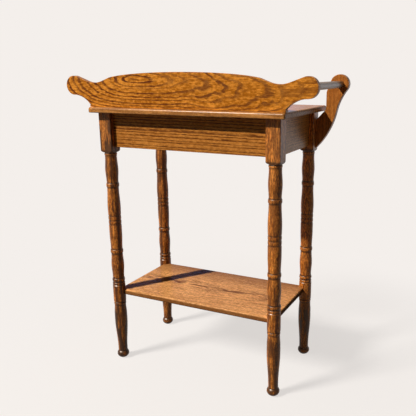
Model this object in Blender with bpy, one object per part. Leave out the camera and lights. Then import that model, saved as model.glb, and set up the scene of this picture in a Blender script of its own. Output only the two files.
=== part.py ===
"""Oak washstand with turned legs, one drawer, a shelf, a shaped backsplash and one towel bar.

The stand faces -Y. Its origin is on the floor, in the middle of the four legs.
"""

import math

import bmesh
import bpy
from mathutils import Matrix, Vector

# Clearances
FIT_GAP = 0.0003
CUT_OVERRUN = 0.002
JOIN_OVERLAP = 0.002
MERGE_DISTANCE = 0.00001
ROUND_PROFILE_SHARE = 0.5

# Smoothness
LEG_SIDES = 16
BAR_SIDES = 20
SCREW_SIDES = 10
KNOB_SIDES = 16
SMOOTH_ANGLE = math.radians(35)
ARC_STEP = math.radians(12)
BEAD_STEPS = 4
FOOT_STEPS = 7
SHOULDER_STEPS = 3
MOST_WAVE_STEPS = 4
ROUND_EDGE_STEPS = 3

# Legs
LEG_BLOCK_SIDE = 0.039
LEG_BLOCK_LENGTH = 0.1105
LEG_BLOCK_EASE = 0.001
LEG_TURNED_RADIUS = 0.0183
WAVE_STEP_LENGTH = 0.0155
SHOULDER_HEIGHT = 0.0095
SHOULDER_REACH = 0.0105
FOOT_RADIUS = 0.0176
FOOT_HALF_HEIGHT = 0.0145
FOOT_CENTRE_HEIGHT = 0.0135

# Top board
TOP_LENGTH = 0.574
TOP_DEPTH = 0.332
TOP_THICKNESS = 0.015
TOP_HEIGHT = 0.762
TOP_END_OVERHANG = 0.0175
TOP_SIDE_OVERHANG = 0.0205
TOP_CORNER_RADIUS = 0.006
TOP_UPPER_RADIUS = 0.006
TOP_LOWER_RADIUS = 0.003

# Shelf
SHELF_HEIGHT = 0.2245
SHELF_THICKNESS = 0.0165
SHELF_EDGE_RADIUS = 0.0045
SEAT_BELOW_SHELF = 0.021
SEAT_ABOVE_SHELF = 0.0135
SEAT_RISE = 0.0048
# How much higher the seat for the shelf is turned on a leg than on the others
SEAT_LIFTS = {"leg_back_left": 0.005}

# Aprons and rails
APRON_HEIGHT = 0.095
APRON_THICKNESS = 0.015
APRON_RECESS = 0.014
RAIL_THICKNESS = 0.014
RAIL_WIDTH = 0.034
RAIL_RECESS = 0.003
BOARD_EASE = 0.0008
TENON_LENGTH = 0.012
TENON_THICKNESS = 0.008
TENON_MARGIN = 0.009
RAIL_TENON_THICKNESS = 0.007
RAIL_TENON_MARGIN = 0.005

# Backsplash, its heights above the top board. An inset runs from the end of the top board towards
# the middle, and a reach runs away from it.
BACKSPLASH_THICKNESS = 0.015
BACKSPLASH_SETBACK = 0.010
BACKSPLASH_EASE = 0.0012
CREST_HEIGHT = 0.0921
CREST_INSET = 0.0495
CREST_RISE = 0.0236
SHOULDER_INSET = 0.0695
VALLEY_START_INSET = 0.0480
VALLEY_RADIUS = 0.080
VALLEY_INSET = 0.0185
VALLEY_HEIGHT = 0.0642
VALLEY_END_ANGLE = math.radians(20)
BACK_LOBE_RADIUS = 0.0255
BACK_LOBE_REACH = 0.0505
BACK_LOBE_HEIGHT = 0.057
COVE_RADIUS = 0.068
COVE_START_ANGLE = math.radians(52)
BACKSPLASH_END_INSET = 0.0015

# Towel bar and its arm
BAR_RADIUS = 0.0095
BAR_REACH = 0.048
BAR_HEIGHT = 0.0585
BAR_SOCKET_DEPTH = 0.008
BAR_END_CHAMFER = 0.0008
ARM_THICKNESS = 0.019
ARM_EASE = 0.0012
ARM_LOBE_RADIUS = 0.02575
ARM_LOBE_REACH = 0.045
ARM_LOBE_HEIGHT = 0.0592
ARM_LOBE_END_ANGLE = math.radians(38)
ARM_NECK_ANGLE = math.radians(12)
ARM_HOLLOW_RADIUS = 0.138
ARM_SWEEP_RADIUS = 0.212
ARM_LOBE_START_ANGLE = math.radians(164)
ARM_INNER_REACH = 0.0095
ARM_INNER_STRAIGHT_HEIGHT = 0.038
ARM_UNDER_TOP_DROP = 0.023
ARM_ELBOW_HEIGHT = 0.006
DOWEL_RADIUS = 0.004
DOWEL_LENGTH = 0.024
DOWEL_HEIGHT_SHARES = (0.42, 0.80)

# Drawer
DRAWER_SIDE_CLEARANCE = 0.001
DRAWER_FRONT_GAP = 0.001
DRAWER_FRONT_THICKNESS = 0.018
DRAWER_BACK_CLEARANCE = 0.015
DRAWER_SIDE_THICKNESS = 0.010
DRAWER_SIDE_HEIGHT = 0.060
DRAWER_BACK_THICKNESS = 0.010
DRAWER_BACK_INSET = 0.008
DRAWER_BACK_HOUSING = 0.004
DRAWER_BOTTOM_THICKNESS = 0.005
DRAWER_GROOVE_DEPTH = 0.004
DRAWER_BOTTOM_RISE = 0.0065
DOVETAIL_LENGTH = 0.012
DOVETAIL_COUNT = 3
DOVETAIL_WIDE_SHARE = 0.66
DOVETAIL_NARROW_SHARE = 0.44
STOP_LENGTH = 0.030
STOP_WIDTH = 0.012
STOP_HEIGHT = 0.005
STOP_INSET = 0.0805

# Drawer runners, guides and kickers
RUNNER_WIDTH = 0.016
GUIDE_RISE = 0.013
GLUE_BLOCK_SIDE = 0.016
GLUE_BLOCK_LENGTH = 0.060
GLUE_BLOCK_INSET = 0.1105

# Knobs and screws
KNOB_RADIUS = 0.0155
KNOB_LENGTH = 0.0225
KNOB_INSET = 0.1145
SCREW_RADIUS = 0.002
SCREW_HEAD_RADIUS = 0.004
SCREW_HEAD_HEIGHT = 0.0025
SCREW_IN_KNOB = 0.013
SCREW_IN_BACKSPLASH = 0.022
BACKSPLASH_SCREW_INSET = 0.077

# Turnings, from the foot up. Each holds its kind, the share of the run at its middle, the share of
# the turned radius there, and the share of the run that half of it takes.
BEAD_ROOT_SHARE = 0.905
GROOVE_EDGE_SHARE = 0.985
LOWER_TURNING_SHARES = (
    ("wave", 0.180, 0.745, 0),
    ("wave", 0.675, 1.007, 0),
    ("wave", 0.780, 1.000, 0),
    ("wave", 0.935, 0.915, 0),
    ("bead", 0.965, 0.970, 0.022),
    ("wave", 1.000, 0.990, 0),
)
UPPER_TURNING_SHARES = (
    ("bead", 0.015, 0.985, 0.010),
    ("bead", 0.044, 1.005, 0.012),
    ("wave", 0.070, 0.900, 0),
    ("wave", 0.160, 1.005, 0),
    ("wave", 0.245, 0.905, 0),
    ("bead", 0.267, 1.000, 0.015),
    ("wave", 0.290, 0.910, 0),
    ("wave", 0.400, 0.985, 0),
    ("groove", 0.472, 0.940, 0.008),
    ("groove", 0.504, 0.940, 0.008),
    ("groove", 0.537, 0.940, 0.008),
    ("wave", 0.600, 1.010, 0),
    ("wave", 0.737, 0.895, 0),
    ("bead", 0.763, 0.990, 0.015),
    ("wave", 0.787, 0.900, 0),
    ("wave", 0.871, 1.000, 0),
    ("wave", 0.962, 0.900, 0),
    ("bead", 0.986, 0.955, 0.008),
    ("wave", 1.000, 0.945, 0),
)
KNOB_PROFILE_SHARES = (
    (0.00, 0.62), (0.06, 0.62), (0.12, 0.50), (0.34, 0.44), (0.48, 0.56),
    (0.60, 0.86), (0.72, 1.00), (0.84, 0.97), (0.94, 0.72), (1.00, 0.36),
)

# Places worked out from the sizes above
UNDER_TOP = TOP_HEIGHT - TOP_THICKNESS
FRAME_TOP = UNDER_TOP - FIT_GAP
APRON_BOTTOM = UNDER_TOP - APRON_HEIGHT
BLOCK_HALF = LEG_BLOCK_SIDE / 2
TOP_END_X = TOP_LENGTH / 2
TOP_SIDE_Y = TOP_DEPTH / 2
LEG_X = TOP_END_X - TOP_END_OVERHANG - BLOCK_HALF
LEG_Y = TOP_SIDE_Y - TOP_SIDE_OVERHANG - BLOCK_HALF
OUTER_X = LEG_X + BLOCK_HALF
OUTER_Y = LEG_Y + BLOCK_HALF
INNER_X = LEG_X - BLOCK_HALF
INNER_Y = LEG_Y - BLOCK_HALF
APRON_OUTER_X = OUTER_X - APRON_RECESS
APRON_INNER_X = APRON_OUTER_X - APRON_THICKNESS
APRON_OUTER_Y = OUTER_Y - APRON_RECESS
APRON_INNER_Y = APRON_OUTER_Y - APRON_THICKNESS
RAIL_FRONT_Y = -OUTER_Y + RAIL_RECESS
RAIL_BACK_Y = RAIL_FRONT_Y + RAIL_WIDTH
LOWER_RAIL_TOP = APRON_BOTTOM + RAIL_THICKNESS
UPPER_RAIL_BOTTOM = FRAME_TOP - RAIL_THICKNESS
SHELF_BOTTOM = SHELF_HEIGHT - SHELF_THICKNESS
BACKSPLASH_BACK_Y = TOP_SIDE_Y - BACKSPLASH_SETBACK
BACKSPLASH_FRONT_Y = BACKSPLASH_BACK_Y - BACKSPLASH_THICKNESS
BACKSPLASH_MIDDLE_Y = (BACKSPLASH_BACK_Y + BACKSPLASH_FRONT_Y) / 2
ARM_FRONT_Y = -OUTER_Y
ARM_BACK_Y = ARM_FRONT_Y + ARM_THICKNESS
DRAWER_FLOOR = LOWER_RAIL_TOP + FIT_GAP
DRAWER_HALF_WIDTH = INNER_X - DRAWER_SIDE_CLEARANCE
DRAWER_FRONT_BOTTOM = LOWER_RAIL_TOP + DRAWER_FRONT_GAP
DRAWER_FRONT_TOP = UPPER_RAIL_BOTTOM - DRAWER_FRONT_GAP
DRAWER_BACK_FACE_Y = RAIL_FRONT_Y + DRAWER_FRONT_THICKNESS
DRAWER_END_Y = APRON_INNER_Y - DRAWER_BACK_CLEARANCE
DRAWER_BOTTOM_UNDERSIDE = DRAWER_FLOOR + DRAWER_BOTTOM_RISE
SIDES = (("left", -1), ("right", 1))
ENDS = (("front", -1), ("back", 1))


def clear_scene():
    """Remove every object that the scene starts with."""
    for old in list(bpy.data.objects):
        bpy.data.objects.remove(old, do_unlink=True)


def surface(name, colour, roughness, metallic=0.0):
    """Make a material with one colour."""
    material = bpy.data.materials.new(name)
    material.use_nodes = True
    shader = material.node_tree.nodes["Principled BSDF"]
    shader.inputs["Base Color"].default_value = (*colour, 1.0)
    shader.inputs["Roughness"].default_value = roughness
    shader.inputs["Metallic"].default_value = metallic
    material.diffuse_color = (*colour, 1.0)
    return material


def make_materials():
    """Return the surfaces of the stand by name."""
    return {
        "golden_oak": surface("golden_oak", (0.56, 0.25, 0.065), 0.38),
        "shelf_oak": surface("shelf_oak", (0.50, 0.22, 0.07), 0.40),
        "brown_oak": surface("brown_oak", (0.36, 0.13, 0.032), 0.36),
        "apron_oak": surface("apron_oak", (0.42, 0.17, 0.045), 0.40),
        "inner_pine": surface("inner_pine", (0.52, 0.36, 0.19), 0.70),
        "drawer_pine": surface("drawer_pine", (0.58, 0.43, 0.25), 0.62),
        "screw_steel": surface("screw_steel", (0.42, 0.41, 0.39), 0.45, 1.0),
    }


def object_from_bmesh(name, mesh_data, material, rounded):
    """Turn mesh data into a named object and free the data."""
    bmesh.ops.recalc_face_normals(mesh_data, faces=mesh_data.faces)
    mesh = bpy.data.meshes.new(name)
    mesh_data.to_mesh(mesh)
    mesh_data.free()
    if rounded:
        mesh.shade_smooth()
        mesh.set_sharp_from_angle(angle=SMOOTH_ANGLE)
    made = bpy.data.objects.new(name, mesh)
    bpy.context.collection.objects.link(made)
    if material is not None:
        mesh.materials.append(material)
    return made


def box_data(low, high):
    """Return mesh data of a box between two corners."""
    data = bmesh.new()
    size = Vector(high) - Vector(low)
    middle = (Vector(high) + Vector(low)) / 2
    bmesh.ops.create_cube(data, size=1.0)
    bmesh.ops.scale(data, vec=size, verts=data.verts)
    bmesh.ops.translate(data, vec=middle, verts=data.verts)
    return data


def ease_edges(data, edges, reach, segments=1):
    """Take the sharpness off some edges of mesh data, in one flat or in several."""
    bmesh.ops.bevel(data, geom=edges, offset=reach, segments=segments,
                    profile=ROUND_PROFILE_SHARE, affect='EDGES', clamp_overlap=True)


def board(name, low, high, material, ease=0.0):
    """Make a board between two corners, its edges eased."""
    data = box_data(low, high)
    if ease > 0.0:
        ease_edges(data, list(data.edges), ease)
    return object_from_bmesh(name, data, material, False)


def helper_box(name, low, high):
    """Make a box that only joins or cuts another piece."""
    return as_helper(board(name, low, high, None))


def as_helper(shape):
    """Mark a shape as one that is not a piece itself."""
    shape.hide_render = True
    shape.display_type = 'WIRE'
    return shape


def combine(piece, helper, operation):
    """Join a helper to a piece, cut it out or keep what both share."""
    change = piece.modifiers.new(helper.name, 'BOOLEAN')
    change.operation = operation
    change.solver = 'EXACT'
    change.object = helper


def cut(piece, helper):
    """Cut a helper's shape out of a piece."""
    combine(piece, helper, 'DIFFERENCE')


def grown(low, high, amount):
    """Return the corners of a box made larger on every side."""
    extra = Vector((amount, amount, amount))
    return Vector(low) - extra, Vector(high) + extra


def sorted_corners(one, other):
    """Return the low and the high corner of the box between two points."""
    low = Vector(min(a, b) for a, b in zip(one, other))
    high = Vector(max(a, b) for a, b in zip(one, other))
    return low, high


def cut_box(piece, name, one, other, gap=0.0):
    """Cut a box between two points, larger by a gap, out of a piece."""
    low, high = sorted_corners(one, other)
    cut(piece, helper_box(name, *grown(low, high, gap)))


def turned(name, profile, sides, material):
    """Turn a profile about Z. The profile holds radius and height, from the top down."""
    mesh = bpy.data.meshes.new(name)
    points = [(radius, 0.0, height) for radius, height in profile]
    edges = [(index, index + 1) for index in range(len(points) - 1)]
    mesh.from_pydata(points, edges, [])
    piece = bpy.data.objects.new(name, mesh)
    bpy.context.collection.objects.link(piece)
    turn = piece.modifiers.new("turn", 'SCREW')
    turn.axis = 'Z'
    turn.angle = 2 * math.pi
    turn.steps = sides
    turn.render_steps = sides
    turn.use_merge_vertices = True
    turn.merge_threshold = MERGE_DISTANCE
    turn.use_smooth_shade = True
    if material is not None:
        mesh.materials.append(material)
    return piece


def extruded(name, outline, low_y, high_y, ease, material):
    """Saw a board from an outline in X and Z, with its edges eased."""
    data = bmesh.new()
    corners = [data.verts.new((x, low_y, z)) for x, z in outline]
    face = data.faces.new(corners)
    grown_part = bmesh.ops.extrude_face_region(data, geom=[face])
    moved = [item for item in grown_part["geom"] if isinstance(item, bmesh.types.BMVert)]
    bmesh.ops.translate(data, vec=(0.0, high_y - low_y, 0.0), verts=moved)
    if ease > 0.0:
        rims = [edge for edge in data.edges
                if abs(edge.verts[0].co.y - edge.verts[1].co.y) < MERGE_DISTANCE]
        ease_edges(data, rims, ease)
    return object_from_bmesh(name, data, material, True)


def arc(centre, radius, start, end):
    """Return points on an arc between two angles, both ends included."""
    steps = max(1, round(abs(end - start) / ARC_STEP))
    angles = [start + (end - start) * index / steps for index in range(steps + 1)]
    return [(centre[0] + radius * math.cos(angle), centre[1] + radius * math.sin(angle))
            for angle in angles]


def bead_points(middle, radius, half, root):
    """Return the points of a half round bead between its two roots, going up."""
    swell = radius - root
    angles = [math.pi * index / BEAD_STEPS for index in range(BEAD_STEPS + 1)]
    return [(root + swell * math.sin(angle), middle - half * math.cos(angle)) for angle in angles]


def wave_points(start, end):
    """Return the points of a swell or a hollow after its start, going up."""
    points = []
    steps = min(MOST_WAVE_STEPS, max(1, round((end[1] - start[1]) / WAVE_STEP_LENGTH)))
    for index in range(1, steps + 1):
        share = index / steps
        blend = (1 - math.cos(math.pi * share)) / 2
        points.append((start[0] + (end[0] - start[0]) * blend,
                       start[1] + (end[1] - start[1]) * share))
    return points


def turning_points(turnings, start, low, high):
    """Return the points of a run of turnings between two heights, going up."""
    run = high - low
    points = [start]
    for kind, middle_share, radius_share, half_share in turnings:
        middle = low + run * middle_share
        radius = LEG_TURNED_RADIUS * radius_share
        half = run * half_share
        if kind == "bead":
            points += bead_points(middle, radius, half, LEG_TURNED_RADIUS * BEAD_ROOT_SHARE)
        elif kind == "groove":
            edge = LEG_TURNED_RADIUS * GROOVE_EDGE_SHARE
            points += [(edge, middle - half), (radius, middle), (edge, middle + half)]
        else:
            points += wave_points(points[-1], (radius, middle))
    return points


def foot_points():
    """Return the points of the ball foot from the floor to the ankle, going up."""
    floor_angle = -math.asin(FOOT_CENTRE_HEIGHT / FOOT_HALF_HEIGHT)
    ankle_radius = LEG_TURNED_RADIUS * LOWER_TURNING_SHARES[0][2]
    ankle_angle = math.acos(ankle_radius / FOOT_RADIUS)
    angles = [floor_angle + (ankle_angle - floor_angle) * index / FOOT_STEPS
              for index in range(FOOT_STEPS + 1)]
    return [(FOOT_RADIUS * math.cos(angle), FOOT_CENTRE_HEIGHT + FOOT_HALF_HEIGHT * math.sin(angle))
            for angle in angles]


def shoulder_points(low, start_radius):
    """Return the points of the rounded shoulder under the square block, going up."""
    angles = [math.pi / 2 * index / SHOULDER_STEPS for index in range(1, SHOULDER_STEPS + 1)]
    return [(start_radius + SHOULDER_REACH * math.sin(angle),
             low + SHOULDER_HEIGHT * (1 - math.cos(angle))) for angle in angles]


def leg_profile(lift):
    """Return the whole profile of a leg, its seat lifted, about its axis, from the top down."""
    seat_low = SHELF_BOTTOM - SEAT_BELOW_SHELF + lift
    seat_high = SHELF_HEIGHT + SEAT_ABOVE_SHELF + lift
    block_low = UNDER_TOP - LEG_BLOCK_LENGTH
    foot = foot_points()
    lower = turning_points(LOWER_TURNING_SHARES, foot[-1], 0.0, seat_low)
    seat = [(LEG_TURNED_RADIUS, seat_low + SEAT_RISE), (LEG_TURNED_RADIUS, seat_high)]
    upper = turning_points(UPPER_TURNING_SHARES, seat[-1], seat_high, block_low)
    shoulder = shoulder_points(block_low, upper[-1][0])
    outside = shoulder[-1][0]
    rising = [(0.0, 0.0)] + foot + lower[1:] + seat + upper[1:] + shoulder
    rising += [(outside, FRAME_TOP), (0.0, FRAME_TOP)]
    return rising[::-1]


def leg(name, x_side, y_side, material):
    """Turn a leg, square its block and notch it for the corner of the shelf."""
    piece = turned(name, leg_profile(SEAT_LIFTS.get(name, 0.0)), LEG_SIDES, material)
    data = box_data((-BLOCK_HALF, -BLOCK_HALF, -CUT_OVERRUN),
                    (BLOCK_HALF, BLOCK_HALF, FRAME_TOP + CUT_OVERRUN))
    upright = [edge for edge in data.edges
               if abs(edge.verts[0].co.z - edge.verts[1].co.z) > LEG_BLOCK_SIDE]
    ease_edges(data, upright, LEG_BLOCK_EASE)
    square = as_helper(object_from_bmesh(name + "_square", data, None, False))
    place = (x_side * LEG_X, y_side * LEG_Y, 0.0)
    piece.location = place
    square.location = place
    combine(piece, square, 'INTERSECT')
    reach = LEG_TURNED_RADIUS + CUT_OVERRUN
    corner = (x_side * LEG_X, y_side * LEG_Y, SHELF_BOTTOM)
    inward = (x_side * (LEG_X - reach), y_side * (LEG_Y - reach), SHELF_HEIGHT)
    cut_box(piece, name + "_shelf_notch", corner, inward, FIT_GAP)
    return piece


def legs(material):
    """Make the four legs."""
    made = {}
    for side, x_side in SIDES:
        for end, y_side in ENDS:
            name = f"leg_{end}_{side}"
            made[name] = leg(name, x_side, y_side, material)
    return made


def tenon(piece, leg_piece, name, one, other, inward):
    """Join a tenon to a rail and cut its mortise into a leg."""
    root = Vector(one) + Vector(inward) * JOIN_OVERLAP
    combine(piece, helper_box(name, *sorted_corners(root, other)), 'UNION')
    cut_box(leg_piece, name + "_mortise", one, other, FIT_GAP)


def back_apron(made_legs, material):
    """Make the back apron and its tenons."""
    end_x = INNER_X - FIT_GAP
    piece = board("back_apron", (-end_x, APRON_INNER_Y, APRON_BOTTOM),
                  (end_x, APRON_OUTER_Y, FRAME_TOP), material, BOARD_EASE)
    middle = (APRON_INNER_Y + APRON_OUTER_Y) / 2
    for side, x_side in SIDES:
        start = (x_side * end_x, middle - TENON_THICKNESS / 2, APRON_BOTTOM + TENON_MARGIN)
        tip = (x_side * (INNER_X + TENON_LENGTH), middle + TENON_THICKNESS / 2,
               FRAME_TOP - TENON_MARGIN)
        tenon(piece, made_legs[f"leg_back_{side}"], f"back_apron_tenon_{side}", start, tip,
              (-x_side, 0, 0))
    return piece


def side_apron(side, x_side, made_legs, material):
    """Make an end apron and its tenons."""
    end_y = INNER_Y - FIT_GAP
    low, high = sorted_corners((x_side * APRON_INNER_X, -end_y, APRON_BOTTOM),
                               (x_side * APRON_OUTER_X, end_y, FRAME_TOP))
    piece = board(f"side_apron_{side}", low, high, material, BOARD_EASE)
    middle = x_side * (APRON_INNER_X + APRON_OUTER_X) / 2
    for end, y_side in ENDS:
        start = (middle - TENON_THICKNESS / 2, y_side * end_y, APRON_BOTTOM + TENON_MARGIN)
        tip = (middle + TENON_THICKNESS / 2, y_side * (INNER_Y + TENON_LENGTH),
               FRAME_TOP - TENON_MARGIN)
        tenon(piece, made_legs[f"leg_{end}_{side}"], f"side_apron_tenon_{side}_{end}", start, tip,
              (0, -y_side, 0))
    return piece


def front_rail(name, bottom, top, made_legs, material):
    """Make a flat rail across the front and its tenons."""
    end_x = INNER_X - FIT_GAP
    piece = board(name, (-end_x, RAIL_FRONT_Y, bottom), (end_x, RAIL_BACK_Y, top), material,
                  BOARD_EASE)
    middle = (bottom + top) / 2
    for side, x_side in SIDES:
        start = (x_side * end_x, RAIL_FRONT_Y + RAIL_TENON_MARGIN,
                 middle - RAIL_TENON_THICKNESS / 2)
        tip = (x_side * (INNER_X + TENON_LENGTH), RAIL_BACK_Y - RAIL_TENON_MARGIN,
               middle + RAIL_TENON_THICKNESS / 2)
        tenon(piece, made_legs[f"leg_front_{side}"], f"{name}_tenon_{side}", start, tip,
              (-x_side, 0, 0))
    return piece


def rounded_board(name, low, high, corner, upper, lower, material):
    """Make a board with round corners in plan and rounded upper and lower edges."""
    data = box_data(low, high)
    height = high[2] - low[2]
    if corner > 0.0:
        upright = [edge for edge in data.edges
                   if abs(edge.verts[0].co.z - edge.verts[1].co.z) > height / 2]
        ease_edges(data, upright, corner, ROUND_EDGE_STEPS)
    for level, radius in ((high[2], upper), (low[2], lower)):
        rim = [edge for edge in data.edges
               if all(abs(vert.co.z - level) < MERGE_DISTANCE for vert in edge.verts)]
        ease_edges(data, rim, radius, ROUND_EDGE_STEPS)
    return object_from_bmesh(name, data, material, True)


def top_board(material):
    """Make the top with its rounded edges."""
    return rounded_board("top_board", (-TOP_END_X, -TOP_SIDE_Y, UNDER_TOP),
                         (TOP_END_X, TOP_SIDE_Y, TOP_HEIGHT), TOP_CORNER_RADIUS,
                         TOP_UPPER_RADIUS, TOP_LOWER_RADIUS, material)


def shelf(material):
    """Make the shelf, whose corners reach the axes of the legs."""
    return rounded_board("shelf", (-LEG_X, -LEG_Y, SHELF_BOTTOM), (LEG_X, LEG_Y, SHELF_HEIGHT),
                         0.0, SHELF_EDGE_RADIUS, SHELF_EDGE_RADIUS, material)


def crest_points():
    """Return the crest from the right shoulder over the middle to the left shoulder."""
    half_width = TOP_END_X - CREST_INSET
    start = math.acos((TOP_END_X - SHOULDER_INSET) / half_width)
    centre_height = CREST_HEIGHT - CREST_RISE
    steps = 2 * round((math.pi / 2 - start) / ARC_STEP * 2)
    angles = [start + (math.pi - 2 * start) * index / steps for index in range(steps + 1)]
    return [(half_width * math.cos(angle), centre_height + CREST_RISE * math.sin(angle))
            for angle in angles]


def backsplash_half():
    """Return the right half of the outline from the top board up to the shoulder."""
    end_x = TOP_END_X - BACKSPLASH_END_INSET
    lobe = (TOP_END_X + BACK_LOBE_REACH, BACK_LOBE_HEIGHT)
    lobe_bottom = lobe[1] - BACK_LOBE_RADIUS
    cove_centre = (lobe[0], lobe_bottom - COVE_RADIUS)
    cove_start = math.pi / 2 + COVE_START_ANGLE
    cove = arc(cove_centre, COVE_RADIUS, cove_start, math.pi / 2)
    foot = [(end_x, 0.0), (end_x, cove[0][1])]
    around = arc(lobe, BACK_LOBE_RADIUS, -math.pi / 2, math.pi / 2 + VALLEY_END_ANGLE)
    valley_centre = (TOP_END_X - VALLEY_INSET, VALLEY_HEIGHT + VALLEY_RADIUS)
    valley_start = math.asin((VALLEY_START_INSET - VALLEY_INSET) / VALLEY_RADIUS)
    valley = arc(valley_centre, VALLEY_RADIUS, -math.pi / 2 + VALLEY_END_ANGLE,
                 -math.pi / 2 - valley_start)
    return foot + cove + around[1:] + valley


def backsplash_outline():
    """Return the outline of the backsplash, anticlockwise from its lower right corner."""
    right = backsplash_half()
    left = [(-x, z) for x, z in reversed(right)]
    return [(x, z + TOP_HEIGHT + FIT_GAP) for x, z in right + crest_points() + left]


def bar_place():
    """Return the X and Z of the towel bar's axis."""
    return -TOP_END_X - BAR_REACH, TOP_HEIGHT + BAR_HEIGHT


def backsplash(material):
    """Saw the backsplash and bore the socket for the towel bar."""
    piece = extruded("backsplash", backsplash_outline(), BACKSPLASH_FRONT_Y, BACKSPLASH_BACK_Y,
                     BACKSPLASH_EASE, material)
    cut_socket(piece, "backsplash_socket", BACKSPLASH_FRONT_Y + BAR_SOCKET_DEPTH,
               BACKSPLASH_FRONT_Y - CUT_OVERRUN)
    return piece


def round_along_y(name, radius, low_y, high_y, sides, chamfer, material):
    """Make a round rod along Y, its axis at X and Z of zero."""
    length = high_y - low_y
    profile = [(0.0, length), (radius - chamfer, length)]
    if chamfer > 0.0:
        profile += [(radius, length - chamfer), (radius, chamfer)]
    profile += [(radius - chamfer, 0.0), (0.0, 0.0)]
    rod = turned(name, profile, sides, material)
    rod.rotation_euler = (-math.pi / 2, 0.0, 0.0)
    rod.location = (0.0, low_y, 0.0)
    return rod


def cut_socket(piece, name, deep_y, open_y):
    """Bore a blind socket for the towel bar."""
    x, z = bar_place()
    low_y, high_y = min(deep_y, open_y), max(deep_y, open_y)
    bore = round_along_y(name, BAR_RADIUS + FIT_GAP, low_y, high_y, BAR_SIDES, 0.0, None)
    bore.location = (x, low_y, z)
    cut(piece, as_helper(bore))


def towel_bar(material):
    """Turn the bar, whose ends sit in the sockets of the backsplash and of the arm."""
    x, z = bar_place()
    low_y = ARM_BACK_Y - BAR_SOCKET_DEPTH + FIT_GAP
    high_y = BACKSPLASH_FRONT_Y + BAR_SOCKET_DEPTH - FIT_GAP
    bar = round_along_y("towel_bar", BAR_RADIUS, low_y, high_y, BAR_SIDES, BAR_END_CHAMFER,
                        material)
    bar.location = (x, low_y, z)
    return bar


def arm_outline():
    """Return the outline of the arm, as X from the middle and Z above the floor."""
    lobe = (TOP_END_X + ARM_LOBE_REACH, TOP_HEIGHT + ARM_LOBE_HEIGHT)
    around = arc(lobe, ARM_LOBE_RADIUS, ARM_LOBE_START_ANGLE, -ARM_LOBE_END_ANGLE)
    lobe_end = around[-1]
    hollow_centre = (lobe_end[0] + ARM_HOLLOW_RADIUS * math.cos(ARM_LOBE_END_ANGLE),
                     lobe_end[1] - ARM_HOLLOW_RADIUS * math.sin(ARM_LOBE_END_ANGLE))
    hollow = arc(hollow_centre, ARM_HOLLOW_RADIUS, math.pi - ARM_LOBE_END_ANGLE,
                 math.pi - ARM_NECK_ANGLE)
    neck = hollow[-1]
    sweep_centre = (neck[0] - ARM_SWEEP_RADIUS * math.cos(ARM_NECK_ANGLE),
                    neck[1] + ARM_SWEEP_RADIUS * math.sin(ARM_NECK_ANGLE))
    inner_face = OUTER_X + FIT_GAP
    tip_angle = math.acos((inner_face - sweep_centre[0]) / ARM_SWEEP_RADIUS)
    sweep = arc(sweep_centre, ARM_SWEEP_RADIUS, -ARM_NECK_ANGLE, -tip_angle)
    inner_x = TOP_END_X + ARM_INNER_REACH
    inside = [(inner_face, UNDER_TOP - ARM_UNDER_TOP_DROP),
              (inner_x, UNDER_TOP + ARM_ELBOW_HEIGHT),
              (inner_x, TOP_HEIGHT + ARM_INNER_STRAIGHT_HEIGHT)]
    return around + hollow[1:] + sweep[1:] + inside


def towel_arm(material):
    """Saw the arm and bore its socket."""
    outline = [(-x, z) for x, z in arm_outline()]
    piece = extruded("towel_arm", outline, ARM_FRONT_Y, ARM_BACK_Y, ARM_EASE, material)
    cut_socket(piece, "arm_socket", ARM_BACK_Y - BAR_SOCKET_DEPTH, ARM_BACK_Y + CUT_OVERRUN)
    return piece


def arm_dowels(arm, front_leg, material):
    """Make the two dowels between the arm and its leg block."""
    low = UNDER_TOP - LEG_BLOCK_LENGTH
    high = UNDER_TOP - ARM_UNDER_TOP_DROP
    y = (ARM_FRONT_Y + ARM_BACK_Y) / 2
    for label, share in zip(("lower", "upper"), DOWEL_HEIGHT_SHARES):
        z = low + (high - low) * share
        place = (-OUTER_X, y, z)
        rod_along_x(f"arm_dowel_{label}", DOWEL_RADIUS, DOWEL_LENGTH, place, material)
        bore = rod_along_x(f"arm_dowel_bore_{label}", DOWEL_RADIUS + FIT_GAP,
                           DOWEL_LENGTH + 2 * FIT_GAP, place, None)
        as_helper(bore)
        for holder in (arm, front_leg):
            cut(holder, bore)


def rod_along_x(name, radius, length, middle, material):
    """Make a round rod along X about its middle."""
    half = length / 2
    profile = [(0.0, half), (radius, half), (radius, -half), (0.0, -half)]
    rod = turned(name, profile, SCREW_SIDES, material)
    rod.rotation_euler = (0.0, math.pi / 2, 0.0)
    rod.location = middle
    return rod


def screw_profile(length, gap):
    """Return the profile of a countersunk screw, head down, its head's face at zero."""
    shank = SCREW_RADIUS + gap
    head = SCREW_HEAD_RADIUS + gap
    return [(0.0, length + gap), (shank, length + gap), (shank, SCREW_HEAD_HEIGHT + gap),
            (head, 0.0), (0.0, 0.0)]


def screw(name, length, place, turn, holders, material):
    """Make a countersunk screw and cut its seat into what it holds."""
    piece = turned(name, screw_profile(length, 0.0), SCREW_SIDES, material)
    seat_profile = screw_profile(length, FIT_GAP)[:-2]
    head = SCREW_HEAD_RADIUS + FIT_GAP
    seat_profile += [(head, FIT_GAP), (head, -CUT_OVERRUN), (0.0, -CUT_OVERRUN)]
    seat = as_helper(turned(name + "_seat", seat_profile, SCREW_SIDES, None))
    for shape in (piece, seat):
        shape.rotation_euler = turn
        shape.location = place
    for holder in holders:
        cut(holder, seat)
    return piece


def backsplash_screws(top, back, material):
    """Make the screws that hold the backsplash down from under the top."""
    for label, side in (("left", -1), ("middle", 0), ("right", 1)):
        place = (side * (TOP_END_X - BACKSPLASH_SCREW_INSET), BACKSPLASH_MIDDLE_Y, UNDER_TOP)
        screw(f"backsplash_screw_{label}", TOP_THICKNESS + SCREW_IN_BACKSPLASH, place,
              (0.0, 0.0, 0.0), (top, back), material)


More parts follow.
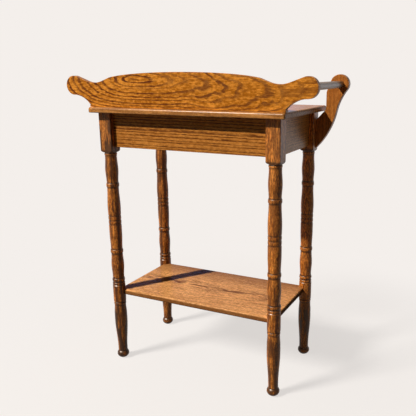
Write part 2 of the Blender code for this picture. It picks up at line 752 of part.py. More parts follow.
def runners_and_blocks(pine):
    """Make the strips that carry and guide the drawer, its stops and the glue blocks."""
    back_y = APRON_INNER_Y - FIT_GAP
    front_y = RAIL_BACK_Y + FIT_GAP
    strip_outer = INNER_X - FIT_GAP
    strip_inner = strip_outer - RUNNER_WIDTH
    filler_outer = APRON_INNER_X - FIT_GAP
    filler_end = INNER_Y - FIT_GAP
    for side, x_side in SIDES:
        low, high = sorted_corners((x_side * strip_inner, front_y, APRON_BOTTOM),
                                   (x_side * strip_outer, back_y, LOWER_RAIL_TOP))
        board(f"drawer_runner_{side}", low, high, pine)
        low, high = sorted_corners((x_side * strip_inner, front_y, UPPER_RAIL_BOTTOM),
                                   (x_side * strip_outer, back_y, FRAME_TOP))
        board(f"drawer_kicker_{side}", low, high, pine)
        low, high = sorted_corners((x_side * INNER_X, -filler_end, APRON_BOTTOM),
                                   (x_side * filler_outer, filler_end,
                                    LOWER_RAIL_TOP + GUIDE_RISE))
        board(f"drawer_guide_{side}", low, high, pine)
        low, high = sorted_corners((x_side * INNER_X, -GLUE_BLOCK_LENGTH / 2,
                                    FRAME_TOP - GLUE_BLOCK_SIDE),
                                   (x_side * filler_outer, GLUE_BLOCK_LENGTH / 2, FRAME_TOP))
        board(f"glue_block_side_{side}", low, high, pine)
        centre = x_side * (INNER_X - GLUE_BLOCK_INSET)
        board(f"glue_block_back_{side}",
              (centre - GLUE_BLOCK_LENGTH / 2, back_y - GLUE_BLOCK_SIDE,
               FRAME_TOP - GLUE_BLOCK_SIDE),
              (centre + GLUE_BLOCK_LENGTH / 2, back_y, FRAME_TOP), pine)
        centre = x_side * (INNER_X - STOP_INSET)
        stop_y = DRAWER_BACK_FACE_Y + FIT_GAP
        stop_low = LOWER_RAIL_TOP + FIT_GAP
        board(f"drawer_stop_{side}", (centre - STOP_LENGTH / 2, stop_y, stop_low),
              (centre + STOP_LENGTH / 2, stop_y + STOP_WIDTH, stop_low + STOP_HEIGHT), pine)


def dovetail_outline(index):
    """Return one tail in Y and Z, from the back face of the drawer front forwards."""
    pitch = DRAWER_SIDE_HEIGHT / DOVETAIL_COUNT
    middle = DRAWER_FLOOR + pitch * (index + 0.5)
    narrow = pitch * DOVETAIL_NARROW_SHARE / 2
    wide = pitch * DOVETAIL_WIDE_SHARE / 2
    tip = DRAWER_BACK_FACE_Y - DOVETAIL_LENGTH
    root = DRAWER_BACK_FACE_Y
    return [(root, middle - narrow), (tip, middle - wide), (tip, middle + wide),
            (root, middle + narrow)]


def tail_shape(name, index, low_x, high_x, gap, overrun):
    """Make one tail, or its socket where the gap is not zero."""
    root_low, tip_low, tip_high, root_high = dovetail_outline(index)
    points = [(root_low[0] + overrun, root_low[1] - gap), (tip_low[0] - gap, tip_low[1] - gap),
              (tip_high[0] - gap, tip_high[1] + gap), (root_high[0] + overrun, root_high[1] + gap)]
    data = bmesh.new()
    corners = [data.verts.new((low_x, y, z)) for y, z in points]
    face = data.faces.new(corners)
    grown_part = bmesh.ops.extrude_face_region(data, geom=[face])
    moved = [item for item in grown_part["geom"] if isinstance(item, bmesh.types.BMVert)]
    bmesh.ops.translate(data, vec=(high_x - low_x, 0.0, 0.0), verts=moved)
    return as_helper(object_from_bmesh(name, data, None, False))


def drawer_front(material):
    """Make the drawer front, grooved for the bottom."""
    piece = board("drawer_front", (-DRAWER_HALF_WIDTH, RAIL_FRONT_Y, DRAWER_FRONT_BOTTOM),
                  (DRAWER_HALF_WIDTH, DRAWER_BACK_FACE_Y, DRAWER_FRONT_TOP), material, BOARD_EASE)
    groove_x = DRAWER_HALF_WIDTH - DRAWER_SIDE_THICKNESS + DRAWER_GROOVE_DEPTH
    cut_box(piece, "drawer_front_groove",
            (-groove_x, DRAWER_BACK_FACE_Y - DRAWER_GROOVE_DEPTH, DRAWER_BOTTOM_UNDERSIDE),
            (groove_x, DRAWER_BACK_FACE_Y + CUT_OVERRUN,
             DRAWER_BOTTOM_UNDERSIDE + DRAWER_BOTTOM_THICKNESS), FIT_GAP)
    return piece


def drawer_side(side, x_side, front, material):
    """Make a drawer side with its tails, its groove and the housing for the back."""
    outer = x_side * DRAWER_HALF_WIDTH
    inner = x_side * (DRAWER_HALF_WIDTH - DRAWER_SIDE_THICKNESS)
    low, high = sorted_corners((outer, DRAWER_BACK_FACE_Y + FIT_GAP, DRAWER_FLOOR),
                               (inner, DRAWER_END_Y, DRAWER_FLOOR + DRAWER_SIDE_HEIGHT))
    piece = board(f"drawer_side_{side}", low, high, material)
    for index in range(DOVETAIL_COUNT):
        tail = tail_shape(f"drawer_tail_{side}_{index}", index, low[0], high[0], 0.0,
                          JOIN_OVERLAP)
        combine(piece, tail, 'UNION')
        socket_low, socket_high = sorted_corners((outer + x_side * CUT_OVERRUN, 0.0, 0.0),
                                                 (inner - x_side * FIT_GAP, 0.0, 0.0))
        socket = tail_shape(f"drawer_tail_socket_{side}_{index}", index, socket_low[0],
                            socket_high[0], FIT_GAP, CUT_OVERRUN)
        cut(front, socket)
    cut_box(piece, f"drawer_side_groove_{side}",
            (inner - x_side * CUT_OVERRUN, DRAWER_BACK_FACE_Y - DOVETAIL_LENGTH - CUT_OVERRUN,
             DRAWER_BOTTOM_UNDERSIDE),
            (inner + x_side * DRAWER_GROOVE_DEPTH, DRAWER_END_Y + CUT_OVERRUN,
             DRAWER_BOTTOM_UNDERSIDE + DRAWER_BOTTOM_THICKNESS), FIT_GAP)
    back_low = DRAWER_END_Y - DRAWER_BACK_INSET - DRAWER_BACK_THICKNESS
    back_floor = DRAWER_BOTTOM_UNDERSIDE + DRAWER_BOTTOM_THICKNESS
    cut_box(piece, f"drawer_side_housing_{side}",
            (inner - x_side * CUT_OVERRUN, back_low, back_floor),
            (inner + x_side * DRAWER_BACK_HOUSING, back_low + DRAWER_BACK_THICKNESS,
             DRAWER_FLOOR + DRAWER_SIDE_HEIGHT + CUT_OVERRUN), FIT_GAP)
    return piece


def drawer_back(material):
    """Make the drawer back, housed in the sides and standing on the bottom."""
    reach = DRAWER_HALF_WIDTH - DRAWER_SIDE_THICKNESS + DRAWER_BACK_HOUSING
    back_low = DRAWER_END_Y - DRAWER_BACK_INSET - DRAWER_BACK_THICKNESS
    floor = DRAWER_BOTTOM_UNDERSIDE + DRAWER_BOTTOM_THICKNESS + FIT_GAP
    return board("drawer_back", (-reach, back_low, floor),
                 (reach, back_low + DRAWER_BACK_THICKNESS, DRAWER_FLOOR + DRAWER_SIDE_HEIGHT),
                 material)


def drawer_bottom(material):
    """Make the drawer bottom, held in the grooves."""
    reach = DRAWER_HALF_WIDTH - DRAWER_SIDE_THICKNESS + DRAWER_GROOVE_DEPTH
    return board("drawer_bottom",
                 (-reach, DRAWER_BACK_FACE_Y - DRAWER_GROOVE_DEPTH, DRAWER_BOTTOM_UNDERSIDE),
                 (reach, DRAWER_END_Y, DRAWER_BOTTOM_UNDERSIDE + DRAWER_BOTTOM_THICKNESS),
                 material)


def knob(side, x_side, front, wood_material, steel):
    """Turn a knob and make the screw that holds it from inside the drawer."""
    x = x_side * (DRAWER_HALF_WIDTH - KNOB_INSET)
    z = (DRAWER_FRONT_BOTTOM + DRAWER_FRONT_TOP) / 2
    profile = [(KNOB_RADIUS * radius, KNOB_LENGTH * length)
               for length, radius in reversed(KNOB_PROFILE_SHARES)]
    profile = [(0.0, profile[0][1])] + profile + [(0.0, profile[-1][1])]
    piece = turned(f"knob_{side}", profile, KNOB_SIDES, wood_material)
    piece.rotation_euler = (math.pi / 2, 0.0, 0.0)
    piece.location = (x, RAIL_FRONT_Y - FIT_GAP, z)
    place = (x, DRAWER_BACK_FACE_Y, z)
    fixing = screw(f"knob_screw_{side}", DRAWER_FRONT_THICKNESS + SCREW_IN_KNOB, place,
                   (math.pi / 2, 0.0, 0.0), (front, piece), steel)
    return piece, fixing


def drawer(materials):
    """Make the drawer and hang its pieces on the axis of its slide."""
    oak = materials["apron_oak"]
    pine = materials["drawer_pine"]
    front = drawer_front(oak)
    pieces = [front]
    for side, x_side in SIDES:
        pieces.append(drawer_side(side, x_side, front, pine))
        pieces += knob(side, x_side, front, materials["brown_oak"], materials["screw_steel"])
    pieces += [drawer_back(pine), drawer_bottom(pine)]
    slide = bpy.data.objects.new("drawer_slide", None)
    bpy.context.collection.objects.link(slide)
    slide.location = (0.0, RAIL_FRONT_Y, DRAWER_FLOOR)
    hold = Matrix.Translation(slide.location).inverted()
    for piece in pieces:
        piece.parent = slide
        piece.matrix_parent_inverse = hold


def build():
    """Make the whole washstand."""
    clear_scene()
    materials = make_materials()
    made_legs = legs(materials["brown_oak"])
    back_apron(made_legs, materials["apron_oak"])
    for side, x_side in SIDES:
        side_apron(side, x_side, made_legs, materials["apron_oak"])
    front_rail("front_rail_lower", APRON_BOTTOM, LOWER_RAIL_TOP, made_legs,
               materials["apron_oak"])
    front_rail("front_rail_upper", UPPER_RAIL_BOTTOM, FRAME_TOP, made_legs,
               materials["apron_oak"])
    top = top_board(materials["golden_oak"])
    shelf(materials["shelf_oak"])
    back = backsplash(materials["golden_oak"])
    arm = towel_arm(materials["golden_oak"])
    towel_bar(materials["brown_oak"])
    arm_dowels(arm, made_legs["leg_front_left"], materials["drawer_pine"])
    backsplash_screws(top, back, materials["screw_steel"])
    runners_and_blocks(materials["inner_pine"])
    drawer(materials)


build()
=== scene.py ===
"""Looks of a small oak washstand: turned legs, shaped back, drawer, shelf and towel bar.

The stand faces -Y. Sizes are in metres.
"""

import math

import bmesh
import bpy
from mathutils import Matrix, Vector


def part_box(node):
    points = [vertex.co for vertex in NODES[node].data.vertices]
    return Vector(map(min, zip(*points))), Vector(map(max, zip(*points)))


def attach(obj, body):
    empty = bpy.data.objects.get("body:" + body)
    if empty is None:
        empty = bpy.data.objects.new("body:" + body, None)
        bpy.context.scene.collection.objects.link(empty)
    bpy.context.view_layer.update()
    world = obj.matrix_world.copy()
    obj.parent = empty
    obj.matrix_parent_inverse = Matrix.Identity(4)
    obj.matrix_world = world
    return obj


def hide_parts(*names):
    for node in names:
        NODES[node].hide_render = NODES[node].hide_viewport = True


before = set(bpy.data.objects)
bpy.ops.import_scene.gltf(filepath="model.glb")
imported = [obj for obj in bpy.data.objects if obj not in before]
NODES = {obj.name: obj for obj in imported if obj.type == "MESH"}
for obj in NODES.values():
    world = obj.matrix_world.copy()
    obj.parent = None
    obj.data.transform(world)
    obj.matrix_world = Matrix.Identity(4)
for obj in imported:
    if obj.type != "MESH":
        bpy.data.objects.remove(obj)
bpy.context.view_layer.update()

# Clearances and smoothness
FIT_GAP = 0.0003
MERGE_DISTANCE = 0.00001
SMOOTH_ANGLE = math.radians(32)
ARC_STEP = math.radians(4)
LEG_SIDES = 72
ROUND_SIDES = 64
KNOB_SIDES = 64
BEAD_STEPS = 12
WAVE_STEPS = 10
FOOT_STEPS = 20
SHOULDER_STEPS = 14
CREST_STEPS = 60
KNOB_STEPS = 6
CORNER_STEPS = 10
EDGE_STEPS = 8
SAWN_EDGE_STEPS = 4
SCREW_SIDES = 20
SCREW_HEAD_SIDES = 40

# Nodes named more than once
BACKSPLASH_SCREWS = [f"backsplash_screw_{label}" for label in ("left", "middle", "right")]
ARM_DOWELS = ["arm_dowel_lower", "arm_dowel_upper"]

# Turned legs
LEG_TURNED_RADIUS = 0.0183
LEG_BLOCK_LENGTH = 0.1105
LEG_BLOCK_EASE = 0.0018
SHOULDER_HEIGHT = 0.0095
SHOULDER_REACH = 0.0105
FOOT_RADIUS = 0.0176
FOOT_HALF_HEIGHT = 0.0145
FOOT_CENTRE_HEIGHT = 0.0135
SEAT_BELOW_SHELF = 0.021
SEAT_ABOVE_SHELF = 0.0135
SEAT_RISE = 0.0048
SEAT_LIFTS = {"leg_back_left": 0.005}
# Painted shade in the hollows of the turnings: the height searched round a point, and the depth
# that gives full shade
HOLLOW_REACH = 0.0036
HOLLOW_DEPTH = 0.0011

# Boards
TOP_CORNER_RADIUS = 0.006
TOP_UPPER_RADIUS = 0.006
TOP_LOWER_RADIUS = 0.003
SHELF_EDGE_RADIUS = 0.0045
SAWN_EDGE_RADIUS = 0.0016

# Backsplash, its heights above the top board
CREST_HEIGHT = 0.09205
CREST_INSET = 0.0495
CREST_RISE = 0.0236
SHOULDER_INSET = 0.0695
VALLEY_START_INSET = 0.0480
VALLEY_RADIUS = 0.080
VALLEY_INSET = 0.0185
VALLEY_HEIGHT = 0.0642
VALLEY_END_ANGLE = math.radians(20)
BACK_LOBE_RADIUS = 0.02543
BACK_LOBE_REACH = 0.0505
BACK_LOBE_HEIGHT = 0.057
COVE_RADIUS = 0.068
COVE_START_ANGLE = math.radians(52)
BACKSPLASH_END_INSET = 0.0015

# Towel bar and its arm
BAR_CHAMFER = 0.0008
BORE_CHAMFER = 0.0001
ARM_LOBE_RADIUS = 0.02575
ARM_LOBE_REACH = 0.045
ARM_LOBE_HEIGHT = 0.0592
ARM_LOBE_END_ANGLE = math.radians(38)
ARM_NECK_ANGLE = math.radians(12)
ARM_HOLLOW_RADIUS = 0.138
ARM_SWEEP_RADIUS = 0.212
ARM_LOBE_START_ANGLE = math.radians(164)
ARM_INNER_REACH = 0.0095
ARM_INNER_STRAIGHT_HEIGHT = 0.038
ARM_UNDER_TOP_DROP = 0.023
ARM_ELBOW_HEIGHT = 0.006

# Screws
SCREW_HEAD_RADIUS = 0.004
SCREW_HEAD_HEIGHT = 0.0025
SCREW_RADIUS = 0.002
SLOT_WIDTH = 0.0009
SLOT_DEPTH = 0.0011
SLOT_LENGTH_SHARE = 2.4

# Turnings: kind, share of the run, share of the turned radius, and the share of the run
# that half of it takes
BEAD_ROOT_SHARE = 0.905
GROOVE_EDGE_SHARE = 0.985
GROOVE_FLANK_RISE = 0.25
GROOVE_FLANK_REACH = 0.4
LOWER_TURNING_SHARES = (
    ("wave", 0.180, 0.745, 0),
    ("wave", 0.675, 1.007, 0),
    ("wave", 0.780, 1.000, 0),
    ("wave", 0.935, 0.915, 0),
    ("bead", 0.965, 0.970, 0.022),
    ("wave", 1.000, 0.990, 0),
)
UPPER_TURNING_SHARES = (
    ("bead", 0.015, 0.985, 0.010),
    ("bead", 0.044, 1.005, 0.012),
    ("wave", 0.070, 0.900, 0),
    ("wave", 0.160, 1.005, 0),
    ("wave", 0.245, 0.905, 0),
    ("bead", 0.267, 1.000, 0.015),
    ("wave", 0.290, 0.910, 0),
    ("wave", 0.400, 0.985, 0),
    ("groove", 0.472, 0.940, 0.008),
    ("groove", 0.504, 0.940, 0.008),
    ("groove", 0.537, 0.940, 0.008),
    ("wave", 0.600, 1.010, 0),
    ("wave", 0.737, 0.895, 0),
    ("bead", 0.763, 0.990, 0.015),
    ("wave", 0.787, 0.900, 0),
    ("wave", 0.871, 1.000, 0),
    ("wave", 0.962, 0.900, 0),
    ("bead", 0.986, 0.955, 0.008),
    ("wave", 1.000, 0.945, 0),
)
KNOB_PROFILE_SHARES = (
    (0.00, 0.62), (0.06, 0.62), (0.12, 0.50), (0.34, 0.44), (0.48, 0.56),
    (0.60, 0.86), (0.72, 1.00), (0.84, 0.97), (0.94, 0.72), (1.00, 0.36),
)


# Node helpers

def add(tree, kind, inputs=None, **settings):
    """Add a node to a tree, with its settings and its inputs or links."""
    node = tree.nodes.new(kind)
    for key, value in settings.items():
        setattr(node, key, value)
    feed(tree, node, inputs or {})
    return node


def feed(tree, node, inputs):
    """Set or link the inputs of a node."""
    for key, value in inputs.items():
        if isinstance(value, bpy.types.NodeSocket):
            tree.links.new(value, node.inputs[key])
        else:
            node.inputs[key].default_value = value


def calc(tree, operation, *values):
    """Work out a number from numbers or sockets."""
    return add(tree, "ShaderNodeMath", dict(enumerate(values)), operation=operation).outputs[0]


def times(tree, first, second):
    """Multiply two numbers or sockets."""
    return calc(tree, 'MULTIPLY', first, second)


def vector_calc(tree, operation, *values):
    """Work out a vector from vectors or sockets."""
    node = add(tree, "ShaderNodeVectorMath", dict(enumerate(values)), operation=operation)
    return node.outputs[0]


def scaled(tree, vector, amount):
    """Multiply a vector by a number."""
    return add(tree, "ShaderNodeVectorMath", {0: vector, 3: amount}, operation='SCALE').outputs[0]


def axis_of(tree, vector, axis):
    """Return the X, Y or Z of a vector, by its number."""
    return add(tree, "ShaderNodeSeparateXYZ", {0: vector}).outputs[axis]


def mixed(tree, share, low, high):
    """Mix two colours."""
    return add(tree, "ShaderNodeMix", {0: share, 6: low, 7: high}, data_type='RGBA').outputs[2]


def mixed_value(tree, share, low, high):
    """Blend two values."""
    return add(tree, "ShaderNodeMix", {0: share, 2: low, 3: high}, data_type='FLOAT').outputs[0]


def curve_of(tree, value, stops):
    """Map a number through grey stops, each a place and a level."""
    node = add(tree, "ShaderNodeValToRGB", {0: value})
    ramp = node.color_ramp
    while len(ramp.elements) < len(stops):
        ramp.elements.new(0.5)
    for element, (place, level) in zip(ramp.elements, stops):
        element.position = place
        element.color = (level, level, level, 1.0)
    return node.outputs[0]


def ranged(tree, value, start, end, low=0.0, high=1.0, kind='LINEAR'):
    """Turn a number between start and end into one between low and high, held at both."""
    return add(tree, "ShaderNodeMapRange", {0: value, 1: start, 2: end, 3: low, 4: high},
               interpolation_type=kind).outputs[0]


def noise(tree, place, detail=2.0, roughness=0.5):
    """Add a noise over a place already scaled to its grain."""
    return add(tree, "ShaderNodeTexNoise", {"Vector": place, "Scale": 1.0, "Detail": detail,
                                            "Roughness": roughness})


def sockets(tree, state, kind, *names):
    """Give the tree of a group inputs or outputs of a kind."""
    for name in names:
        tree.interface.new_socket(name, in_out=state, socket_type=f"NodeSocket{kind}")


# Oak

# Each layer of the grain: repeats in a metre along and across, detail, and any own roughness
LAYERS = {
    "bow": (3.0, 8.0, 1.0),
    "curl": (22.0, 34.0, 1.0),
    "fuzz": (38.0, 130.0, 2.0),
    "patches": (14.0, 30.0, 1.0),
    "fine dashes": (85.0, 700.0, 1.0),
    "coarse dashes": (55.0, 230.0, 1.0),
    "pores": (150.0, 2100.0, 1.0),
    "fibres": (20.0, 330.0, 2.0),
    "speckle": (120.0, 240.0, 2.0),
    "clouds": (9.0, 40.0, 2.0),
    "figure": (30.0, 62.0, 3.0, 0.60),
    "streaks": (7.0, 125.0, 2.0),
    "flecks": (20.0, 95.0, 2.0),
}
# Stops between which marks fade in: each a level of their noise and a share
MARK_STOPS = {
    "pores": ((0.54, 0.0), (0.62, 1.0)),
    "figure": ((0.44, 0.0), (0.60, 1.0)),
    "streaks": ((0.47, 0.0), (0.57, 1.0)),
    "flecks": ((0.54, 0.0), (0.60, 1.0)),
    "patches": ((0.30, 0.55), (0.55, 1.0)),
    "dashes": ((0.40, 0.0), (0.60, 1.0)),
    "ragged": ((0.36, 0.0), (0.74, 1.0)),
    "tone": ((0.41, 0.0), (0.59, 1.0)),
}
# Open early wood through one year, from its start
YEAR_STOPS = ((0.0, 0.80), (0.06, 1.0), (0.22, 0.88), (0.40, 0.35), (0.58, 0.06), (0.84, 0.0),
              (0.95, 0.20), (1.0, 0.80))
FUZZ_OF_CURL = 0.5
LEAST_FUZZ = 0.0004
MOST_FUZZ = 0.0024
UNEVEN_SCALE = 0.45
UNEVEN_YEARS = 1.6
FAINTEST_YEAR = 0.50
COARSE_SHARE = 0.60
DASH_SHARE = 0.40
LATE_PORES = 0.35
FIBRE_SHARE = 0.30
SPECKLE_SHARE = 0.50
CLOUD_SHARE = 0.20
PORE_DARKNESS = 0.70
FIBRE_HEIGHT = 0.25
RING_DEPTH = 0.3


def oak_group():
    """Make the group that draws oak: rings round a leaning heart, pores, fibres and figure.

    Its place runs along the grain in X.
    """
    tree = bpy.data.node_groups.new("oak_grain", 'ShaderNodeTree')
    sockets(tree, 'INPUT', "Vector", "Place", "Heart", "Lean", "Sag")
    sockets(tree, 'INPUT', "Float", "Period", "Bow", "Curl", "Figure", "Ring Strength",
            "Streaks", "Flecks")
    sockets(tree, 'INPUT', "Color", "Light", "Middle", "Dark", "Pore")
    sockets(tree, 'OUTPUT', "Color", "Colour")
    sockets(tree, 'OUTPUT', "Float", "Height", "Pores")
    given = tree.nodes.new("NodeGroupInput").outputs
    place = given["Place"]

    def draw(layer, base, output=0):
        along_scale, across_scale, *detail = LAYERS[layer]
        spread = vector_calc(tree, 'MULTIPLY', base, (along_scale, across_scale, across_scale))
        return noise(tree, spread, *detail).outputs[output]

    def sharpened(value, layer):
        return curve_of(tree, value, MARK_STOPS[layer])

    def marks(layer, base):
        return sharpened(draw(layer, base), layer)

    def bend(layer, amount):
        waves = vector_calc(tree, 'SUBTRACT', draw(layer, place, "Color"), (0.5, 0.5, 0.5))
        return scaled(tree, waves, amount)

    bent = vector_calc(tree, 'ADD', place, bend("bow", given["Bow"]))
    bent = vector_calc(tree, 'ADD', bent, bend("curl", given["Curl"]))
    fuzz = calc(tree, 'MULTIPLY_ADD', given["Curl"], FUZZ_OF_CURL, LEAST_FUZZ)
    bent = vector_calc(tree, 'ADD', bent, bend("fuzz", calc(tree, 'MINIMUM', fuzz, MOST_FUZZ)))
    along = axis_of(tree, vector_calc(tree, 'SUBTRACT', place, given["Heart"]), 0)
    lean = scaled(tree, given["Lean"], along)
    off = vector_calc(tree, 'SUBTRACT', vector_calc(tree, 'SUBTRACT', bent, given["Heart"]),
                      vector_calc(tree, 'ADD', lean, given["Sag"]))
    across = vector_calc(tree, 'MULTIPLY', off, (0.0, 1.0, 1.0))
    radius = add(tree, "ShaderNodeVectorMath", {0: across}, operation='LENGTH').outputs[1]
    years = calc(tree, 'DIVIDE', radius, given["Period"])
    uneven = add(tree, "ShaderNodeTexNoise", {"W": years, "Scale": UNEVEN_SCALE, "Detail": 1.0},
                 noise_dimensions='1D').outputs[0]
    rings = calc(tree, 'ADD', years, times(tree, uneven, UNEVEN_YEARS))
    early = curve_of(tree, calc(tree, 'FRACT', rings), YEAR_STOPS)
    one_year = add(tree, "ShaderNodeTexWhiteNoise", {"W": calc(tree, 'FLOOR', rings)},
                   noise_dimensions='1D').outputs[0]
    strength = calc(tree, 'MULTIPLY_ADD', one_year, 1.0 - FAINTEST_YEAR, FAINTEST_YEAR)
    strength = times(tree, strength, marks("patches", place))
    strength = times(tree, strength, given["Ring Strength"])

    dashes = mixed_value(tree, COARSE_SHARE, draw("fine dashes", bent), draw("coarse dashes", bent))
    ragged = mixed_value(tree, DASH_SHARE, early, sharpened(dashes, "dashes"))
    line = times(tree, sharpened(ragged, "ragged"), strength)
    pores = times(tree, marks("pores", bent),
                  calc(tree, 'MULTIPLY_ADD', early, 1.0 - LATE_PORES, LATE_PORES))
    fibres = draw("fibres", bent)

    tone = calc(tree, 'ADD', times(tree, fibres, FIBRE_SHARE),
                calc(tree, 'ADD', times(tree, draw("speckle", place), SPECKLE_SHARE),
                     times(tree, draw("clouds", place), CLOUD_SHARE)))
    colour = mixed(tree, sharpened(tone, "tone"), given["Middle"], given["Light"])
    for layer, base in (("figure", place), ("streaks", bent), ("flecks", bent)):
        share = times(tree, marks(layer, base), given[layer.capitalize()])
        colour = mixed(tree, share, colour, given["Dark"])
    colour = mixed(tree, line, colour, given["Dark"])
    colour = mixed(tree, times(tree, pores, PORE_DARKNESS), colour, given["Pore"])
    height = calc(tree, 'SUBTRACT', times(tree, fibres, FIBRE_HEIGHT),
                  calc(tree, 'ADD', pores, times(tree, line, RING_DEPTH)))
    add(tree, "NodeGroupOutput", {"Colour": colour, "Height": height, "Pores": pores})
    return tree


OAK = oak_group()
GRAIN_TURN = {"x": (0.0, 0.0, 0.0), "y": (0.0, 0.0, -math.pi / 2), "z": (0.0, math.pi / 2, 0.0)}

# Heart of the backsplash's rings: X, and how far back and below it lies there
PATH_SPAN = 0.10
HEART_PATH = ((0.360, 0.074, 0.0), (0.140, 0.000, 0.0), (0.000, 0.021, 0.003),
              (-0.135, 0.045, 0.024), (-0.360, 0.080, 0.030))
# X between which straight streaks take the place of its rings, and X between which these go wild
LOBE_FADE = (-0.25, -0.30)
LOBE_FAINTNESS = 0.75
WILD_FADE = (0.12, -0.05)
WILD_CURL = 0.008
WILD_FAINTNESS = 0.25
# The shelf: middle and half width in Y of its band of flecks, painted shade on its edge,
# and its darker far side
FLECK_BAND = (0.008, 0.034)
FAINTEST_RING = 0.3
EDGE_LINE = 0.0015
EDGE_FADE = 0.004
EDGE_PAINTED_SHADE = 0.78
AWAY_FADE = (-0.03, -0.15)
AWAY_DARKNESS = 0.90
# A leg: heights between which its streaks end, its foot's shade ends and its block's begins,
# and the loops in both shades
LEG_SPAN = 0.75
STREAKS_END = (0.61, 0.655)
FOOT_SHADE = (0.150, 0.180)
BLOCK_SHADE = (0.635, 0.642)
LOOP_SCALE = (95.0, 95.0, 15.0)
LOOP_LEVELS = (0.44, 0.53)
LOOP_SHARES = (0.30, 1.10)
# Share of painted shade in the deepest hollows of the turnings
HOLLOW_PAINTED_SHADE = 0.85
# Gloss and relief
PORE_ROUGHNESS = 0.22
BUMP_STRENGTH = 0.35
BUMP_DISTANCE = 0.00025
GLOSS_TINT = (1.0, 0.62, 0.25, 1.0)
COAT_ROUGHNESS = 0.24
LEG_COAT_ROUGHNESS = 0.36
# Tones of each finish: light, middle, dark and pore
GOLDEN_TONES = ((0.80, 0.295, 0.034), (0.38, 0.110, 0.002), (0.115, 0.020, 0.001),
                (0.07, 0.012, 0.001))
ARM_TONES = ((0.52, 0.18, 0.032), (0.34, 0.102, 0.015), (0.12, 0.030, 0.003),
             (0.10, 0.026, 0.004))
TOP_TONES = ((0.62, 0.27, 0.07), (0.42, 0.16, 0.034), (0.150, 0.048, 0.010), (0.07, 0.02, 0.004))
APRON_TONES = ((0.60, 0.230, 0.040), (0.40, 0.135, 0.018), (0.130, 0.034, 0.004),
               (0.06, 0.016, 0.002))
# The side aprons' tones are lighter than the back apron's, as painted fill light on their shaded
# side
END_PAINTED_FILL_TONES = ((0.68, 0.290, 0.060), (0.46, 0.170, 0.028), (0.130, 0.038, 0.006),
             (0.06, 0.018, 0.003))
SHELF_TONES = ((0.94, 0.455, 0.155), (0.57, 0.235, 0.066), (0.15, 0.045, 0.010),
               (0.09, 0.028, 0.008))
LEG_TONES = ((1.00, 0.345, 0.055), (0.38, 0.098, 0.009), (0.065, 0.014, 0.002),
             (0.030, 0.008, 0.001))
BAR_TONES = ((0.26, 0.13, 0.055), (0.17, 0.075, 0.030), (0.06, 0.024, 0.009),
             (0.03, 0.012, 0.004))
KNOB_TONES = ((0.42, 0.145, 0.022), (0.27, 0.080, 0.011), (0.10, 0.026, 0.003),
              (0.05, 0.014, 0.002))
PINE_TONES = ((0.66, 0.47, 0.26), (0.56, 0.37, 0.19), (0.36, 0.20, 0.085), (0.30, 0.16, 0.07))
# End and side of each leg, X and Y of the heart of its rings, its share of darkness,
# its share of dark streaks, and the darkness of its foot and of its block.
# The front left leg's foot darkness is painted shade that deepens the shelf's shadow on it.
LEG_LOOKS = (("back", "right", 0.294, 0.0715, 0.05, 0.90, (0.88, 0.82)),
             ("back", "left", -0.2125, 0.093, 0.00, 0.55, (0.62, 0.42)),
             ("front", "left", -0.228, -0.192, 0.00, 0.20, (0.90, 0.16)),
             ("front", "right", 0.304, -0.150, 0.28, 0.85, (0.10, 0.16)))
LEG_LEAN = (0.0, 0.01, 0.01)
LEG_YEAR = 0.0018
STEEL_TONES = ((0.30, 0.29, 0.27, 1.0), (0.52, 0.51, 0.49, 1.0))
STEEL_MARKS = (2500.0, 2500.0, 2500.0)
STEEL_ROUGHNESS = 0.3
STEEL_UNEVENNESS = 0.3


def new_finish(name):
    """Make a material, and return it with its tree, its shader and the place on the piece."""
    material = bpy.data.materials.new(name)
    material.use_nodes = True
    tree = material.node_tree
    where = add(tree, "ShaderNodeTexCoord").outputs["Object"]
    return material, tree, tree.nodes["Principled BSDF"], where


def heart_sag(tree, across, path):
    """Return how far back and below the heart of the rings lies at a place across."""
    start, end = path[0][0], path[-1][0]
    share = ranged(tree, across, start, end)
    ways = {}
    for axis, span in ((1, PATH_SPAN), (2, -PATH_SPAN)):
        stops = [((stop[0] - start) / (end - start), stop[axis] / PATH_SPAN) for stop in path]
        ways[axis] = times(tree, curve_of(tree, share, stops), span)
    return add(tree, "ShaderNodeCombineXYZ", ways).outputs[0]


